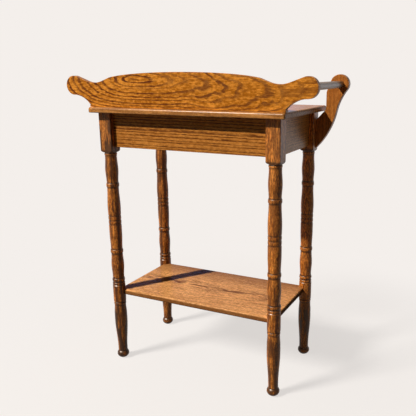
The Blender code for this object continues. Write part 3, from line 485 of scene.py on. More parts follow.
def oak(name, grain, heart, lean, period, tones, bow=0.012, curl=0.003, figure=0.15, ring=1.0,
        streaks=0.0, flecks=0.0, coat=0.15, roughness=0.40, specular=0.12, shades=None,
        path=None, edge_top=None):
    """Make an oak finish: its grain axis, the heart of its rings, and four tones.

    Where path is given, the heart follows it, and the rings fade out at its end.
    Where edge_top is given, the piece is the shelf, and its edge below that height is darkened as
    painted shade.
    Where shades are given, the piece is a turned leg: its hollows are darkened as painted shade,
    its streaks end under the square block, and its foot and its block are darker by those shares.
    """
    material, tree, shader, where = new_finish(name)
    along = add(tree, "ShaderNodeMapping", {"Vector": where, "Rotation": GRAIN_TURN[grain]})
    light, middle, dark, pore = ((*tone, 1.0) for tone in tones)
    sag = (0.0, 0.0, 0.0)
    if path:
        across = axis_of(tree, where, 0)
        sag = heart_sag(tree, across, path)
        far = ranged(tree, across, *LOBE_FADE, kind='SMOOTHSTEP')
        streaks = times(tree, far, streaks)
        wild = times(tree, ranged(tree, across, *WILD_FADE), calc(tree, 'SUBTRACT', 1.0, far))
        curl = calc(tree, 'MULTIPLY_ADD', wild, WILD_CURL, curl)
        faint = calc(tree, 'MULTIPLY_ADD', wild, WILD_FAINTNESS,
                     times(tree, far, LOBE_FAINTNESS))
        ring = times(tree, calc(tree, 'SUBTRACT', 1.0, faint), ring)
    if edge_top is not None:
        across = axis_of(tree, where, 1)
        off = calc(tree, 'ABSOLUTE', calc(tree, 'SUBTRACT', across, FLECK_BAND[0]))
        share = ranged(tree, off, FLECK_BAND[1], 0.0, kind='SMOOTHSTEP')
        flecks = times(tree, share, flecks)
        ring = times(tree, ring,
                     calc(tree, 'MULTIPLY_ADD', share, 1.0 - FAINTEST_RING, FAINTEST_RING))
    wood = add(tree, "ShaderNodeGroup", node_tree=OAK)
    if shades:
        height = times(tree, axis_of(tree, where, 2), 1.0 / LEG_SPAN)
        plain = curve_of(tree, height, [(stop / LEG_SPAN, level)
                                        for stop, level in zip(STREAKS_END, (1.0, 0.0))])
        streaks = times(tree, plain, streaks)
        shade = curve_of(tree, height, [
            (stop / LEG_SPAN, level) for stop, level in zip(FOOT_SHADE + BLOCK_SHADE,
                                                            (shades[0], 0.0, 0.0, shades[1]))])
    feed(tree, wood, {"Place": along.outputs[0], "Heart": heart, "Lean": lean, "Period": period,
                      "Bow": bow, "Curl": curl, "Figure": figure, "Ring Strength": ring,
                      "Streaks": streaks, "Flecks": flecks, "Sag": sag, "Light": light,
                      "Middle": middle, "Dark": dark, "Pore": pore})
    colour = wood.outputs["Colour"]
    if edge_top is not None:
        # Painted shade on the shelf's edge below its top, and a darker far side
        edge = ranged(tree, axis_of(tree, where, 2), edge_top, edge_top - EDGE_FADE, 0.0,
                      EDGE_PAINTED_SHADE)
        away = ranged(tree, across, *AWAY_FADE, 0.0, AWAY_DARKNESS)
        colour = mixed(tree, calc(tree, 'MAXIMUM', edge, away), colour, dark)
    if shades:
        # Darker foot and block, with loops of figure; on the front left leg the foot's darkness is
        # painted shade under the shelf
        loops = noise(tree, vector_calc(tree, 'MULTIPLY', where, LOOP_SCALE), 1.0).outputs[0]
        loops = ranged(tree, loops, *LOOP_LEVELS, *LOOP_SHARES)
        colour = mixed(tree, times(tree, shade, loops), colour, pore)
        # Painted shade in the hollows of the turnings
        painted_hollow_shade = add(tree, "ShaderNodeAttribute", attribute_name="hollow").outputs["Fac"]
        colour = mixed(tree, times(tree, painted_hollow_shade, HOLLOW_PAINTED_SHADE), colour, pore)
    bump = add(tree, "ShaderNodeBump", {"Height": wood.outputs["Height"],
                                        "Strength": BUMP_STRENGTH, "Distance": BUMP_DISTANCE})
    feed(tree, shader, {
        "Base Color": colour,
        "Roughness": calc(tree, 'MULTIPLY_ADD', wood.outputs["Pores"], PORE_ROUGHNESS, roughness),
        "Normal": bump.outputs[0], "Specular IOR Level": specular, "Specular Tint": GLOSS_TINT,
        "Coat Weight": coat, "Coat Roughness": LEG_COAT_ROUGHNESS if shades else COAT_ROUGHNESS})
    return material


def steel(name):
    """Make the plain steel of the screws, with fine turning marks."""
    material, tree, shader, where = new_finish(name)
    marks = noise(tree, vector_calc(tree, 'MULTIPLY', where, STEEL_MARKS), 2.0).outputs[0]
    feed(tree, shader, {"Base Color": mixed(tree, marks, *STEEL_TONES), "Metallic": 1.0,
                        "Roughness": calc(tree, 'MULTIPLY_ADD', marks, STEEL_UNEVENNESS,
                                          STEEL_ROUGHNESS)})
    return material


# Shape helpers

def new_object(name, data):
    """Put an object with its data into the scene."""
    made = bpy.data.objects.new(name, data)
    bpy.context.scene.collection.objects.link(made)
    return made


def mesh_from(name, data):
    """Turn mesh data into a mesh."""
    mesh = bpy.data.meshes.new(name)
    data.to_mesh(mesh)
    data.free()
    return mesh


def piece_from(name, data, material, body, node):
    """Turn mesh data into a finished piece that stands for its node and rides on a body."""
    bmesh.ops.remove_doubles(data, verts=data.verts, dist=MERGE_DISTANCE)
    bmesh.ops.recalc_face_normals(data, faces=data.faces)
    mesh = mesh_from(name, data)
    mesh.materials.append(material)
    piece = new_object(name, mesh)
    soften(piece)
    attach(piece, body)
    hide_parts(node)
    return piece


def soften(piece):
    """Shade a piece smooth but for its sharp edges."""
    piece.data.shade_smooth()
    piece.data.set_sharp_from_angle(angle=SMOOTH_ANGLE)


def settle(piece):
    """Make the piece's modifiers part of its mesh."""
    graph = bpy.context.evaluated_depsgraph_get()
    mesh = bpy.data.meshes.new_from_object(piece.evaluated_get(graph))
    old = piece.data
    piece.modifiers.clear()
    piece.data = mesh
    mesh.name = old.name
    bpy.data.meshes.remove(old)


def carve(piece, cutters):
    """Cut other shapes out of a piece."""
    for cutter in cutters:
        change = piece.modifiers.new(cutter.name, 'BOOLEAN')
        change.operation = 'DIFFERENCE'
        change.solver = 'EXACT'
        change.object = cutter
    settle(piece)
    for cutter in cutters:
        bpy.data.objects.remove(cutter)


def even_normals(piece):
    """Keep broad faces flat beside their rounded edges."""
    change = piece.modifiers.new("even", 'WEIGHTED_NORMAL')
    change.keep_sharp = True
    settle(piece)


def box_data(low, high):
    """Return mesh data of a box between two corners."""
    data = bmesh.new()
    bmesh.ops.create_cube(data, size=1.0)
    bmesh.ops.scale(data, vec=high - low, verts=data.verts)
    bmesh.ops.translate(data, vec=(low + high) / 2, verts=data.verts)
    return data


def loose(name, data):
    """Make a plain object from mesh data, to cut with."""
    return new_object(name, mesh_from(name, data))


def seat_cutters(holder_low, holder_high, guests):
    """Return cutters for what other nodes let into the space of a holder."""
    cutters = []
    for guest in guests:
        inside = [vert.co for vert in NODES[guest].data.vertices
                  if all(low - FIT_GAP < value < high + FIT_GAP
                         for low, value, high in zip(holder_low, vert.co, holder_high))]
        if not inside:
            continue
        low = Vector(min(point[axis] for point in inside) - FIT_GAP for axis in range(3))
        high = Vector(max(point[axis] for point in inside) + FIT_GAP for axis in range(3))
        cutters.append(loose(f"seat_of_{guest}", box_data(low, high)))
    return cutters


def lathe(rings, place, turn):
    """Return mesh data of a stack of rings, turned and put in place, closed at both ends."""
    data = bmesh.new()
    hoops = [[data.verts.new(place + turn @ Vector(point)) for point in points]
             for points in rings]
    for low, high in zip(hoops, hoops[1:]):
        count = len(low)
        for index in range(count):
            after = (index + 1) % count
            data.faces.new((low[index], low[after], high[after], high[index]))
    data.faces.new(list(reversed(hoops[0])))
    data.faces.new(hoops[-1])
    return data


def evenly(start, end, steps):
    """Return evenly spaced numbers from start to end, both included."""
    return [start + (end - start) * step / steps for step in range(steps + 1)]


def round_rings(profile, sides):
    """Return round rings for a profile of radius and height."""
    turns = evenly(0.0, 2 * math.pi, sides)[:-1]
    return [[(radius * math.cos(turn), radius * math.sin(turn), height) for turn in turns]
            for radius, height in profile]


def arc(centre, radius, start, end):
    """Return points on an arc between two angles, both ends included."""
    steps = max(1, round(abs(end - start) / ARC_STEP))
    return [(centre[0] + radius * math.cos(turn), centre[1] + radius * math.sin(turn))
            for turn in evenly(start, end, steps)]


# Making the legs

def turning_points(turnings, start, low, high):
    """Return the points of a run of turnings between two heights, going up."""
    points = [start]
    for kind, middle_share, radius_share, half_share in turnings:
        middle = low + (high - low) * middle_share
        radius = LEG_TURNED_RADIUS * radius_share
        half = (high - low) * half_share
        if kind == "bead":
            root = LEG_TURNED_RADIUS * BEAD_ROOT_SHARE
            points += [(root + (radius - root) * math.sin(turn), middle - half * math.cos(turn))
                       for turn in evenly(0.0, math.pi, BEAD_STEPS)]
        elif kind == "groove":
            edge = LEG_TURNED_RADIUS * GROOVE_EDGE_SHARE
            flank = radius + (edge - radius) * GROOVE_FLANK_RISE
            near = half * GROOVE_FLANK_REACH
            points += [(edge, middle - half), (flank, middle - near), (radius, middle),
                       (flank, middle + near), (edge, middle + half)]
        else:
            old_radius, old_height = points[-1]
            for step in range(1, WAVE_STEPS + 1):
                blend = (1 - math.cos(math.pi * step / WAVE_STEPS)) / 2
                points.append((old_radius + (radius - old_radius) * blend,
                               old_height + (middle - old_height) * step / WAVE_STEPS))
    return points


def leg_profile(shelf_low, shelf_high, top, lift):
    """Return the whole profile of a leg, its seat lifted, from the floor up."""
    seat_low = shelf_low - SEAT_BELOW_SHELF + lift
    seat_high = shelf_high + SEAT_ABOVE_SHELF + lift
    block_low = top + FIT_GAP - LEG_BLOCK_LENGTH
    ankle = LEG_TURNED_RADIUS * LOWER_TURNING_SHARES[0][2]
    first = -math.asin(FOOT_CENTRE_HEIGHT / FOOT_HALF_HEIGHT)
    last = math.acos(ankle / FOOT_RADIUS)
    foot = [(FOOT_RADIUS * math.cos(turn), FOOT_CENTRE_HEIGHT + FOOT_HALF_HEIGHT * math.sin(turn))
            for turn in evenly(first, last, FOOT_STEPS)]
    lower = turning_points(LOWER_TURNING_SHARES, foot[-1], 0.0, seat_low)
    seat = [(LEG_TURNED_RADIUS, height)
            for height in (seat_low + SEAT_RISE, shelf_low, shelf_high, seat_high)]
    upper = turning_points(UPPER_TURNING_SHARES, seat[-1], seat_high, block_low)
    start = upper[-1][0]
    shoulder = [(start + SHOULDER_REACH * math.sin(turn),
                 block_low + SHOULDER_HEIGHT * (1 - math.cos(turn)))
                for turn in evenly(0.0, math.pi / 2, SHOULDER_STEPS)[1:]]
    widest = shoulder[-1][0]
    return foot + lower[1:] + seat + upper[1:] + shoulder + [(widest, top)]


def painted_hollow_shade_of(profile):
    """Return how deep each point of the profile lies between its neighbours, from 0 to 1."""
    # The depth is the share of painted shade in the hollows
    painted_hollow_shades = []
    for radius, height in profile:
        near = [r for r, h in profile if abs(h - height) < HOLLOW_REACH]
        painted_hollow_shades.append(min(1.0, max(0.0, (max(near) - radius) / HOLLOW_DEPTH)))
    return painted_hollow_shades


def turned_leg(end, side, material):
    """Turn a leg with its square block and cut the seats of what it holds."""
    node = f"leg_{end}_{side}"
    low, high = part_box(node)
    shelf_low, shelf_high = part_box("shelf")
    half = (high.x - low.x) / 2
    centre = (low + high) / 2
    centre.z = 0.0
    profile = leg_profile(shelf_low.z, shelf_high.z, high.z, SEAT_LIFTS.get(node, 0.0))
    turns = sorted(set(evenly(0.0, 2 * math.pi, LEG_SIDES)[:-1])
                   | {quarter * math.pi / 2 + corner for quarter in range(4)
                      for corner in (math.atan2(half - LEG_BLOCK_EASE, half),
                                     math.atan2(half, half - LEG_BLOCK_EASE))})
    rings = []
    for radius, height in profile:
        ring = []
        for turn in turns:
            across, up = abs(math.cos(turn)), abs(math.sin(turn))
            out = min(radius, half / max(across, up),
                      (2 * half - LEG_BLOCK_EASE) / (across + up))
            ring.append((out * math.cos(turn), out * math.sin(turn), height))
        rings.append(ring)
    data = lathe(rings, centre, Matrix.Identity(3))
    leg = piece_from(f"{end}_{side}_turned_leg", data, material, "stand", node)
    guests = ["shelf", f"side_apron_{side}"]
    guests += ["back_apron"] if end == "back" else ["front_rail_lower", "front_rail_upper"]
    if node == "leg_front_left":
        guests += ARM_DOWELS
    carve(leg, seat_cutters(low, high, guests))
    # Paint shade into the hollows of the turnings, by how deep each point lies
    painted_hollow_shades = painted_hollow_shade_of(profile)
    heights = [height for _, height in profile]
    hollow = leg.data.attributes.new("hollow", 'FLOAT', 'POINT')
    for vert, value in zip(leg.data.vertices, hollow.data):
        nearest = min(range(len(heights)), key=lambda index: abs(heights[index] - vert.co.z))
        value.value = painted_hollow_shades[nearest]
    soften(leg)
    return leg


# Making the boards and the bar

def round_edges(data, edges, radius, steps):
    """Round some edges of mesh data."""
    bmesh.ops.bevel(data, geom=edges, offset=radius, segments=steps, profile=0.5,
                    affect='EDGES', clamp_overlap=True)


def rounded_board(name, node, corner, upper, lower, material):
    """Make a board with round corners in plan and rounded upper and lower edges."""
    low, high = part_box(node)
    data = box_data(low, high)
    if corner:
        upright = [edge for edge in data.edges
                   if abs(edge.verts[0].co.z - edge.verts[1].co.z) > (high.z - low.z) / 2]
        round_edges(data, upright, corner, CORNER_STEPS)
    for level, radius in ((high.z, upper), (low.z, lower)):
        rim = [edge for edge in data.edges
               if all(abs(vert.co.z - level) < MERGE_DISTANCE for vert in edge.verts)]
        round_edges(data, rim, radius, EDGE_STEPS)
    piece = piece_from(name, data, material, "stand", node)
    even_normals(piece)
    return piece


def sawn_board(name, node, outline, material, guests):
    """Saw a board from an outline in X and Z, and cut it for the bar and for its guests."""
    low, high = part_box(node)
    data = bmesh.new()
    face = data.faces.new([data.verts.new((x, low.y, z)) for x, z in outline])
    grown = bmesh.ops.extrude_face_region(data, geom=[face])
    moved = [item for item in grown["geom"] if isinstance(item, bmesh.types.BMVert)]
    bmesh.ops.translate(data, vec=(0.0, high.y - low.y, 0.0), verts=moved)
    rims = [edge for edge in data.edges
            if abs(edge.verts[0].co.y - edge.verts[1].co.y) < MERGE_DISTANCE]
    round_edges(data, rims, SAWN_EDGE_RADIUS, SAWN_EDGE_STEPS)
    piece = piece_from(name, data, material, "stand", node)
    bore = loose("bar_bore", rod_data(BORE_CHAMFER, FIT_GAP))
    carve(piece, [bore] + seat_cutters(low, high, guests))
    soften(piece)
    even_normals(piece)


def backsplash_outline():
    """Return the outline of the backsplash, anticlockwise from its lower right corner."""
    top_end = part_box("top_board")[1].x
    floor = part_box("backsplash")[0].z
    half_width = top_end - CREST_INSET
    start = math.acos((top_end - SHOULDER_INSET) / half_width)
    crest = [(half_width * math.cos(turn), CREST_HEIGHT + CREST_RISE * (math.sin(turn) - 1))
             for turn in evenly(start, math.pi - start, CREST_STEPS)]
    lobe = (top_end + BACK_LOBE_REACH, BACK_LOBE_HEIGHT)
    cove = arc((lobe[0], lobe[1] - BACK_LOBE_RADIUS - COVE_RADIUS), COVE_RADIUS,
               math.pi / 2 + COVE_START_ANGLE, math.pi / 2)
    around = arc(lobe, BACK_LOBE_RADIUS, -math.pi / 2, math.pi / 2 + VALLEY_END_ANGLE)
    valley_start = math.asin((VALLEY_START_INSET - VALLEY_INSET) / VALLEY_RADIUS)
    valley = arc((top_end - VALLEY_INSET, VALLEY_HEIGHT + VALLEY_RADIUS), VALLEY_RADIUS,
                 -math.pi / 2 + VALLEY_END_ANGLE, -math.pi / 2 - valley_start)
    end_x = top_end - BACKSPLASH_END_INSET
    right = [(end_x, 0.0), (end_x, cove[0][1])] + cove + around[1:] + valley
    left = [(-x, z) for x, z in reversed(right)]
    return [(x, z + floor) for x, z in right + crest + left]


def arm_outline():
    """Return the outline of the arm in X and Z."""
    top_low, top_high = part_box("top_board")
    lobe = (top_high.x + ARM_LOBE_REACH, top_high.z + ARM_LOBE_HEIGHT)
    around = arc(lobe, ARM_LOBE_RADIUS, ARM_LOBE_START_ANGLE, -ARM_LOBE_END_ANGLE)
    end = around[-1]
    hollow = arc((end[0] + ARM_HOLLOW_RADIUS * math.cos(ARM_LOBE_END_ANGLE),
                  end[1] - ARM_HOLLOW_RADIUS * math.sin(ARM_LOBE_END_ANGLE)),
                 ARM_HOLLOW_RADIUS, math.pi - ARM_LOBE_END_ANGLE, math.pi - ARM_NECK_ANGLE)
    neck = hollow[-1]
    sweep_centre = (neck[0] - ARM_SWEEP_RADIUS * math.cos(ARM_NECK_ANGLE),
                    neck[1] + ARM_SWEEP_RADIUS * math.sin(ARM_NECK_ANGLE))
    inner_face = -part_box("towel_arm")[1].x
    tip_angle = math.acos((inner_face - sweep_centre[0]) / ARM_SWEEP_RADIUS)
    sweep = arc(sweep_centre, ARM_SWEEP_RADIUS, -ARM_NECK_ANGLE, -tip_angle)
    inner_x = top_high.x + ARM_INNER_REACH
    inside = [(inner_face, top_low.z - ARM_UNDER_TOP_DROP),
              (inner_x, top_low.z + ARM_ELBOW_HEIGHT),
              (inner_x, top_high.z + ARM_INNER_STRAIGHT_HEIGHT)]
    return [(-x, z) for x, z in around + hollow[1:] + sweep[1:] + inside]


def rod_data(chamfer, gap=0.0):
    """Return mesh data of a round rod where the towel bar lies, larger all round by a gap."""
    low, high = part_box("towel_bar")
    radius = (high.z - low.z) / 2 + gap
    length = high.y - low.y + 2 * gap
    start = (low + high) / 2
    start.y = low.y - gap
    profile = [(radius - chamfer, 0.0), (radius, chamfer), (radius, length - chamfer),
               (radius - chamfer, length)]
    turn = Matrix.Rotation(-math.pi / 2, 3, 'X')
    return lathe(round_rings(profile, ROUND_SIDES), start, turn)


def towel_bar(material):
    """Turn the bar."""
    piece_from("round_towel_bar", rod_data(BAR_CHAMFER), material, "stand",
               "towel_bar")


# Making the knobs

def smooth_profile(points, steps):
    """Return a curve through points of a profile."""
    padded = [points[0]] + list(points) + [points[-1]]
    curve = []
    for before, start, end, after in zip(padded, padded[1:], padded[2:], padded[3:]):
        for step in range(steps):
            t = step / steps
            curve.append(tuple(
                0.5 * (2 * b + (c - a) * t + (2 * a - 5 * b + 4 * c - d) * t * t
                       + (3 * b - a - 3 * c + d) * t ** 3)
                for a, b, c, d in zip(before, start, end, after)))
    return curve + [points[-1]]


def knob(side, material):
    """Turn a knob for the drawer and bore it for its screw."""
    low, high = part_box(f"knob_{side}")
    radius = (high.x - low.x) / 2
    length = high.y - low.y
    centre = (low + high) / 2
    centre.y = high.y
    profile = [(radius * wide, length * far)
               for far, wide in smooth_profile(KNOB_PROFILE_SHARES, KNOB_STEPS)]
    data = lathe(round_rings(profile, KNOB_SIDES), centre, Matrix.Rotation(math.pi / 2, 3, 'X'))
    piece = piece_from(f"turned_knob_{side}", data, material, "drawer",
                       f"knob_{side}")
    carve(piece, seat_cutters(low, high, [f"knob_screw_{side}"]))
    soften(piece)


# Making the screws

def screw_tree():
    """Make the tree that sets a slotted screw on each point, head first along -Z."""
    tree = bpy.data.node_groups.new("slotted_screws", 'GeometryNodeTree')
    sockets(tree, 'INPUT', "Geometry", "Geometry")
    sockets(tree, 'INPUT', "Float", "Length", "Shank Radius", "Head Radius", "Head Height",
            "Slot Width", "Slot Depth")
    sockets(tree, 'INPUT', "Vector", "Turn")
    sockets(tree, 'INPUT', "Material", "Finish")
    sockets(tree, 'OUTPUT', "Geometry", "Geometry")
    given = tree.nodes.new("NodeGroupInput").outputs
    shank_length = calc(tree, 'SUBTRACT', given["Length"], given["Head Height"])
    shank = add(tree, "GeometryNodeMeshCylinder", {"Vertices": SCREW_SIDES,
                                                   "Radius": given["Shank Radius"],
                                                   "Depth": shank_length})
    middle = calc(tree, 'MULTIPLY_ADD', shank_length, 0.5, given["Head Height"])
    raised = add(tree, "ShaderNodeCombineXYZ", {2: middle}).outputs[0]
    shank = add(tree, "GeometryNodeTransform", {"Geometry": shank.outputs[0],
                                                "Translation": raised})
    head = add(tree, "GeometryNodeMeshCone", {"Vertices": SCREW_HEAD_SIDES,
                                              "Radius Bottom": given["Head Radius"],
                                              "Radius Top": given["Shank Radius"],
                                              "Depth": given["Head Height"]})
    slot_length = times(tree, given["Head Radius"], SLOT_LENGTH_SHARE)
    size = add(tree, "ShaderNodeCombineXYZ", {0: slot_length, 1: given["Slot Width"],
                                              2: times(tree, given["Slot Depth"], 2.0)})
    slot = add(tree, "GeometryNodeMeshCube", {"Size": size.outputs[0]})
    cut = add(tree, "GeometryNodeMeshBoolean", {"Mesh 1": head.outputs[0],
                                                "Mesh 2": slot.outputs[0]},
              operation='DIFFERENCE', solver='EXACT')
    both = add(tree, "GeometryNodeJoinGeometry")
    tree.links.new(shank.outputs[0], both.inputs[0])
    tree.links.new(cut.outputs[0], both.inputs[0])
    turn = add(tree, "FunctionNodeEulerToRotation", {0: given["Turn"]})
    placed = add(tree, "GeometryNodeInstanceOnPoints", {"Points": given["Geometry"],
                                                        "Instance": both.outputs[0],
                                                        "Rotation": turn.outputs[0]})
    real = add(tree, "GeometryNodeRealizeInstances", {0: placed.outputs[0]})
    finished = add(tree, "GeometryNodeSetMaterial", {0: real.outputs[0],
                                                     "Material": given["Finish"]})
    add(tree, "NodeGroupOutput", {0: finished.outputs[0]})
    return tree


def screws(name, tree, nodes, upright, body, material):
    """Set slotted screws where nodes lie, heads down or to +Y, as one plain mesh."""
    heads = []
    for low, high in map(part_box, nodes):
        middle = (low + high) / 2
        heads.append((middle.x, middle.y, low.z) if upright else (middle.x, high.y, middle.z))
    mesh = bpy.data.meshes.new(name)
    mesh.from_pydata(heads, [], [])
    piece = new_object(name, mesh)
    maker = piece.modifiers.new("screws", 'NODES')
    maker.node_group = tree
    low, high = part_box(nodes[0])
    length = high.z - low.z if upright else high.y - low.y
    turn = (0.0 if upright else math.pi / 2, 0.0, 0.0)
    sizes = {"Length": length, "Shank Radius": SCREW_RADIUS, "Head Radius": SCREW_HEAD_RADIUS,
             "Head Height": SCREW_HEAD_HEIGHT, "Slot Width": SLOT_WIDTH,
             "Slot Depth": SLOT_DEPTH, "Turn": turn, "Finish": material}
    for item in tree.interface.items_tree:
        if item.in_out == 'INPUT' and item.name in sizes:
            maker[item.identifier] = sizes[item.name]
    settle(piece)
    soften(piece)
    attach(piece, body)
    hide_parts(*nodes)


# Stage

BACKDROP = (0.905, 0.863, 0.831, 1.0)
SURROUND = (0.86, 0.94, 1.0, 1.0)
SURROUND_STRENGTH = 0.040
FLOOR_TONE = (0.80, 0.775, 0.75, 1.0)
FLOOR_BOUNCE = (0.08, 0.078, 0.075, 1.0)
FLOOR_RADIUS = 14.0
FLOOR_SIDES = 96
# Distances from the middle between which the floor's glow rises, and the share that it starts at
GLOW_REACH = (0.30, 1.10)
GLOW_START = 0.76
# The camera
EYE_PLACE = (-0.74185, 1.35412, 0.85588)
EYE_RIGHT = (-0.90677, -0.42162, -0.00234)
EYE_AHEAD = (0.40905, -0.87836, -0.24730)
SENSOR_WIDTH = 36.0
FOCAL_LENGTH = 47.275
SHIFT = (-0.0913, 0.006)
SIGHT = 60.0
# Each lamp: place, size, power, colour, and whether its gloss or its plain light is left out
MIDDLE = Vector((0.0, 0.0, 0.4))
LAMP_DISTANCE = 9.24
SUN_SIDE = Vector((0.426, 0.580, 0.678)) * LAMP_DISTANCE + MIDDLE
LOW_SIDE = Vector((0.494, 0.640, 0.588)) * LAMP_DISTANCE + MIDDLE
FRONT_SIDE = (1.2, -4.2, 0.11)
FRONT_HEIGHT = 0.22
SKY_SIDE = (2.4, -4.05, 2.2)
WARM = (1.0, 0.97, 0.93)
SKY_BLUE = (0.16, 0.36, 1.0)
LAMPS = {
    "key": (SUN_SIDE, 0.24, 1095.0, WARM, None),
    "gloss": (SUN_SIDE, 2.6, 1950.0, WARM, "plain"),
    "bead": (SUN_SIDE, 2.0, 2400.0, (1.0, 0.90, 0.82), "plain"),
    "floor": (LOW_SIDE, 2.3, 1470.0, WARM, None),
    "front": (FRONT_SIDE, 2.4, 112.0, (0.97, 0.98, 1.0), "gloss"),
    "veil": ((-1.6, -3.8, 0.5), 2.4, 11.0, (0.90, 0.92, 1.0), "plain"),
    "top_sky": (SKY_SIDE, 2.6, 31.0, SKY_BLUE, "plain"),
    "shelf_sky": (SKY_SIDE, 2.6, 78.0, SKY_BLUE, "plain"),
}


def camera():
    """Stand the camera where the photograph was taken."""
    data = bpy.data.cameras.new("camera")
    data.sensor_width = SENSOR_WIDTH
    data.lens = FOCAL_LENGTH
    data.shift_x, data.shift_y = SHIFT
    data.clip_end = SIGHT
    eye = new_object("camera", data)
    right = Vector(EYE_RIGHT).normalized()
    ahead = Vector(EYE_AHEAD).normalized()
    up = right.cross(ahead).normalized()
    ahead = up.cross(right)
    turn = Matrix((right, up, -ahead)).transposed().to_4x4()
    eye.matrix_world = Matrix.Translation(EYE_PLACE) @ turn
    bpy.context.scene.camera = eye


def lamp(name, place, size, power, colour, left_out):
    """Hang a lamp, round and aimed at the middle of the stand but for the low front one."""
    data = bpy.data.lights.new(f"{name}_lamp", 'AREA')
    data.shape = 'DISK'
    data.size = size
    data.energy = power
    data.color = colour
    made = new_object(f"{name}_lamp", data)
    aim = MIDDLE
    if name == "front":
        data.shape = 'ELLIPSE'
        data.size_y = FRONT_HEIGHT
        aim = Vector((0.0, 0.0, FRONT_SIDE[2]))
    made.location = place
    made.rotation_euler = (aim - Vector(place)).to_track_quat('-Z', 'Y').to_euler()
    made.visible_diffuse = left_out != "plain"
    made.visible_glossy = left_out != "gloss"
    return made


def reach(light, state, *surfaces):
    """Let a lamp light some surfaces only, or all but these."""
    group = bpy.data.collections.new(f"{light.name}_reach")
    for surface in surfaces:
        group.objects.link(surface)
    light.light_linking.receiver_collection = group
    for link in group.collection_objects:
        link.light_linking.link_state = state


def shown(tree):
    """Return 1 where the camera, a reflection or a clear thing looks straight at a surface."""
    path = add(tree, "ShaderNodeLightPath").outputs
    seen = calc(tree, 'ADD', path["Is Camera Ray"], path["Is Glossy Ray"])
    return calc(tree, 'MINIMUM', calc(tree, 'ADD', seen, path["Is Transmission Ray"]), 1.0)


def pale_floor():
    """Lay the floor, whose glow is weaker round the stand so that the shadow shows."""
    material, tree, shader, where = new_finish("pale_floor")
    far = add(tree, "ShaderNodeVectorMath", {0: where}, operation='LENGTH').outputs[1]
    fade = ranged(tree, far, *GLOW_REACH, GLOW_START, 1.0, 'SMOOTHSTEP')
    seen = shown(tree)
    feed(tree, shader, {"Base Color": mixed(tree, seen, FLOOR_BOUNCE, FLOOR_TONE),
                        "Roughness": 1.0, "Specular IOR Level": 0.0})
    glow = add(tree, "ShaderNodeEmission", {"Color": BACKDROP, "Strength": 1.0})
    both = add(tree, "ShaderNodeMixShader", {0: times(tree, seen, fade),
                                             1: shader.outputs[0], 2: glow.outputs[0]})
    feed(tree, tree.nodes["Material Output"], {0: both.outputs[0]})
    data = bmesh.new()
    bmesh.ops.create_circle(data, cap_ends=True, segments=FLOOR_SIDES, radius=FLOOR_RADIUS)
    mesh = mesh_from("pale_floor", data)
    mesh.materials.append(material)
    floor = new_object("pale_floor", mesh)
    return floor


def studio():
    """Light the stand, give it a pale floor and surround, and return its lamps."""
    world = bpy.data.worlds.new("studio")
    bpy.context.scene.world = world
    world.use_nodes = True
    tree = world.node_tree
    seen = shown(tree)
    feed(tree, tree.nodes["Background"], {
        "Color": mixed(tree, seen, SURROUND, BACKDROP),
        "Strength": calc(tree, 'MULTIPLY_ADD', seen, 1.0 - SURROUND_STRENGTH,
                         SURROUND_STRENGTH)})
    lamps = {name: lamp(name, *settings) for name, settings in LAMPS.items()}
    floor = pale_floor()
    reach(lamps["key"], 'EXCLUDE', floor)
    reach(lamps["front"], 'EXCLUDE', floor)
    reach(lamps["floor"], 'INCLUDE', floor)
    bpy.context.scene.view_settings.view_transform = 'Standard'
    return lamps


# Whole stand

def dress(material, *names):
    """Give nodes that stay their finish."""
    for name in names:
        slots = NODES[name].data.materials
        slots.clear()
        slots.append(material)


def pairs(start, *kinds):
    """Return the names of the left and the right node of some kinds."""
    return [f"{start}{kind}_{side}" for kind in kinds for side in ("left", "right")]


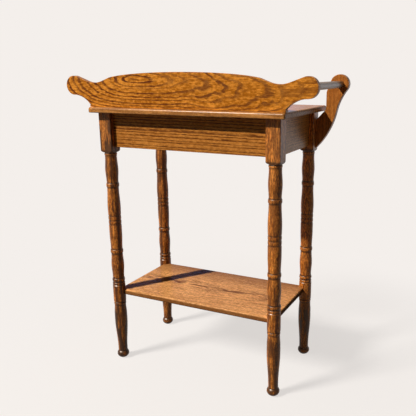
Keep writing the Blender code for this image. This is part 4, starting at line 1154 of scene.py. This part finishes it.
def finishes():
    """Return the finishes but for those of the legs.

    Each oak has its grain axis, the heart of its rings, the heart's lean along the grain,
    the width of a year and its tones.
    """
    bare = {"figure": 0.0, "ring": 0.5, "coat": 0.0, "roughness": 0.62}
    return {
        "golden": oak("golden_backsplash_oak", "x", (0.0, 0.156, 0.836), (0.0, 0.0, 0.0), 0.0080,
                      GOLDEN_TONES, bow=0.010, curl=0.004, figure=0.12, ring=1.25,
                      streaks=0.52, coat=0.05, path=HEART_PATH),
        "arm": oak("golden_arm_oak", "z", (0.0, 0.05, 0.02), (0.0, 0.05, 0.02), 0.008,
                   ARM_TONES, figure=0.1, ring=0.35),
        "top": oak("top_oak", "x", (0.0, 0.02, 0.70), (0.0, 0.01, 0.03), 0.008, TOP_TONES,
                   coat=0.19, specular=0.03),
        "shelf": oak("shelf_oak", "x", (0.0, 0.012, 0.13), (0.0, 0.0, 0.06), 0.0085,
                     SHELF_TONES, figure=0.14, ring=0.55, flecks=0.85, coat=0.04,
                     specular=0.0, edge_top=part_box("shelf")[1].z - EDGE_LINE),
        "apron": oak("apron_oak", "x", (0.0, 0.10, 0.35), (0.0, 0.0, 0.01), 0.0082,
                     APRON_TONES, bow=0.004, curl=0.001, figure=0.05, ring=1.6, coat=0.05),
        # Lighter tones stand in for fill light on the shaded side aprons: painted light
        "end": oak("end_apron_oak_painted_fill", "y", (0.0, 0.10, 0.35), (0.0, 0.0, 0.01), 0.0068,
                   END_PAINTED_FILL_TONES, bow=0.008, curl=0.001, figure=0.05, ring=0.45),
        "bar": oak("bar_oak", "y", (0.0, 0.40, 0.90), (0.0, 0.02, 0.0), 0.004, BAR_TONES,
                   coat=0.3),
        "knob": oak("knob_oak", "y", (0.0, 0.10, 0.72), (0.0, 0.0, 0.0), 0.003, KNOB_TONES,
                    figure=0.0, ring=0.4, coat=0.28),
        "pine_x": oak("pine_along_x", "x", (0.0, 0.0, 0.55), (0.0, 0.0, 0.03), 0.006,
                      PINE_TONES, **bare),
        "pine_y": oak("pine_along_y", "y", (0.0, 0.15, 0.55), (0.0, 0.0, 0.03), 0.006,
                      PINE_TONES, **bare),
        "steel": steel("screw_steel"),
    }


def build():
    """Dress the whole stand."""
    camera()
    lamps = studio()
    finish = finishes()

    legs = []
    for end, side, heart_x, heart_y, leg_shade, streaks, shades in LEG_LOOKS:
        tones = [Vector(tone).lerp(Vector(LEG_TONES[2]), leg_shade) for tone in LEG_TONES[:2]]
        wood = oak(f"{end}_{side}_leg_oak", "z", (0.0, heart_y, -heart_x), LEG_LEAN, LEG_YEAR,
                   (*tones, *LEG_TONES[2:]), bow=0.010, ring=0.9, streaks=streaks, coat=0.28,
                   shades=shades)
        legs.append(turned_leg(end, side, wood))
    reach(lamps["bead"], 'INCLUDE', *legs)
    top = rounded_board("rounded_top", "top_board", TOP_CORNER_RADIUS, TOP_UPPER_RADIUS,
                        TOP_LOWER_RADIUS, finish["top"])
    shelf = rounded_board("rounded_shelf", "shelf", 0.0, SHELF_EDGE_RADIUS, SHELF_EDGE_RADIUS,
                          finish["shelf"])
    reach(lamps["top_sky"], 'INCLUDE', top)
    reach(lamps["shelf_sky"], 'INCLUDE', shelf)
    sawn_board("shaped_backsplash", "backsplash", backsplash_outline(), finish["golden"],
               BACKSPLASH_SCREWS)
    sawn_board("sawn_towel_arm", "towel_arm", arm_outline(), finish["arm"], ARM_DOWELS)
    towel_bar(finish["bar"])
    for side in ("left", "right"):
        knob(side, finish["knob"])
    tree = screw_tree()
    screws("backsplash_screws", tree, BACKSPLASH_SCREWS, True, "stand", finish["steel"])
    screws("knob_screws", tree, pairs("knob", "_screw"), False, "drawer", finish["steel"])
    dress(finish["apron"], "back_apron", "front_rail_lower", "front_rail_upper", "drawer_front")
    dress(finish["end"], *pairs("side", "_apron"))
    dress(finish["pine_x"], "drawer_back", "drawer_bottom", *pairs("drawer", "_stop"),
          *pairs("glue_block", "_back"), *ARM_DOWELS)
    dress(finish["pine_y"], *pairs("drawer", "_side", "_runner", "_guide", "_kicker"),
          *pairs("glue_block", "_side"))


build()
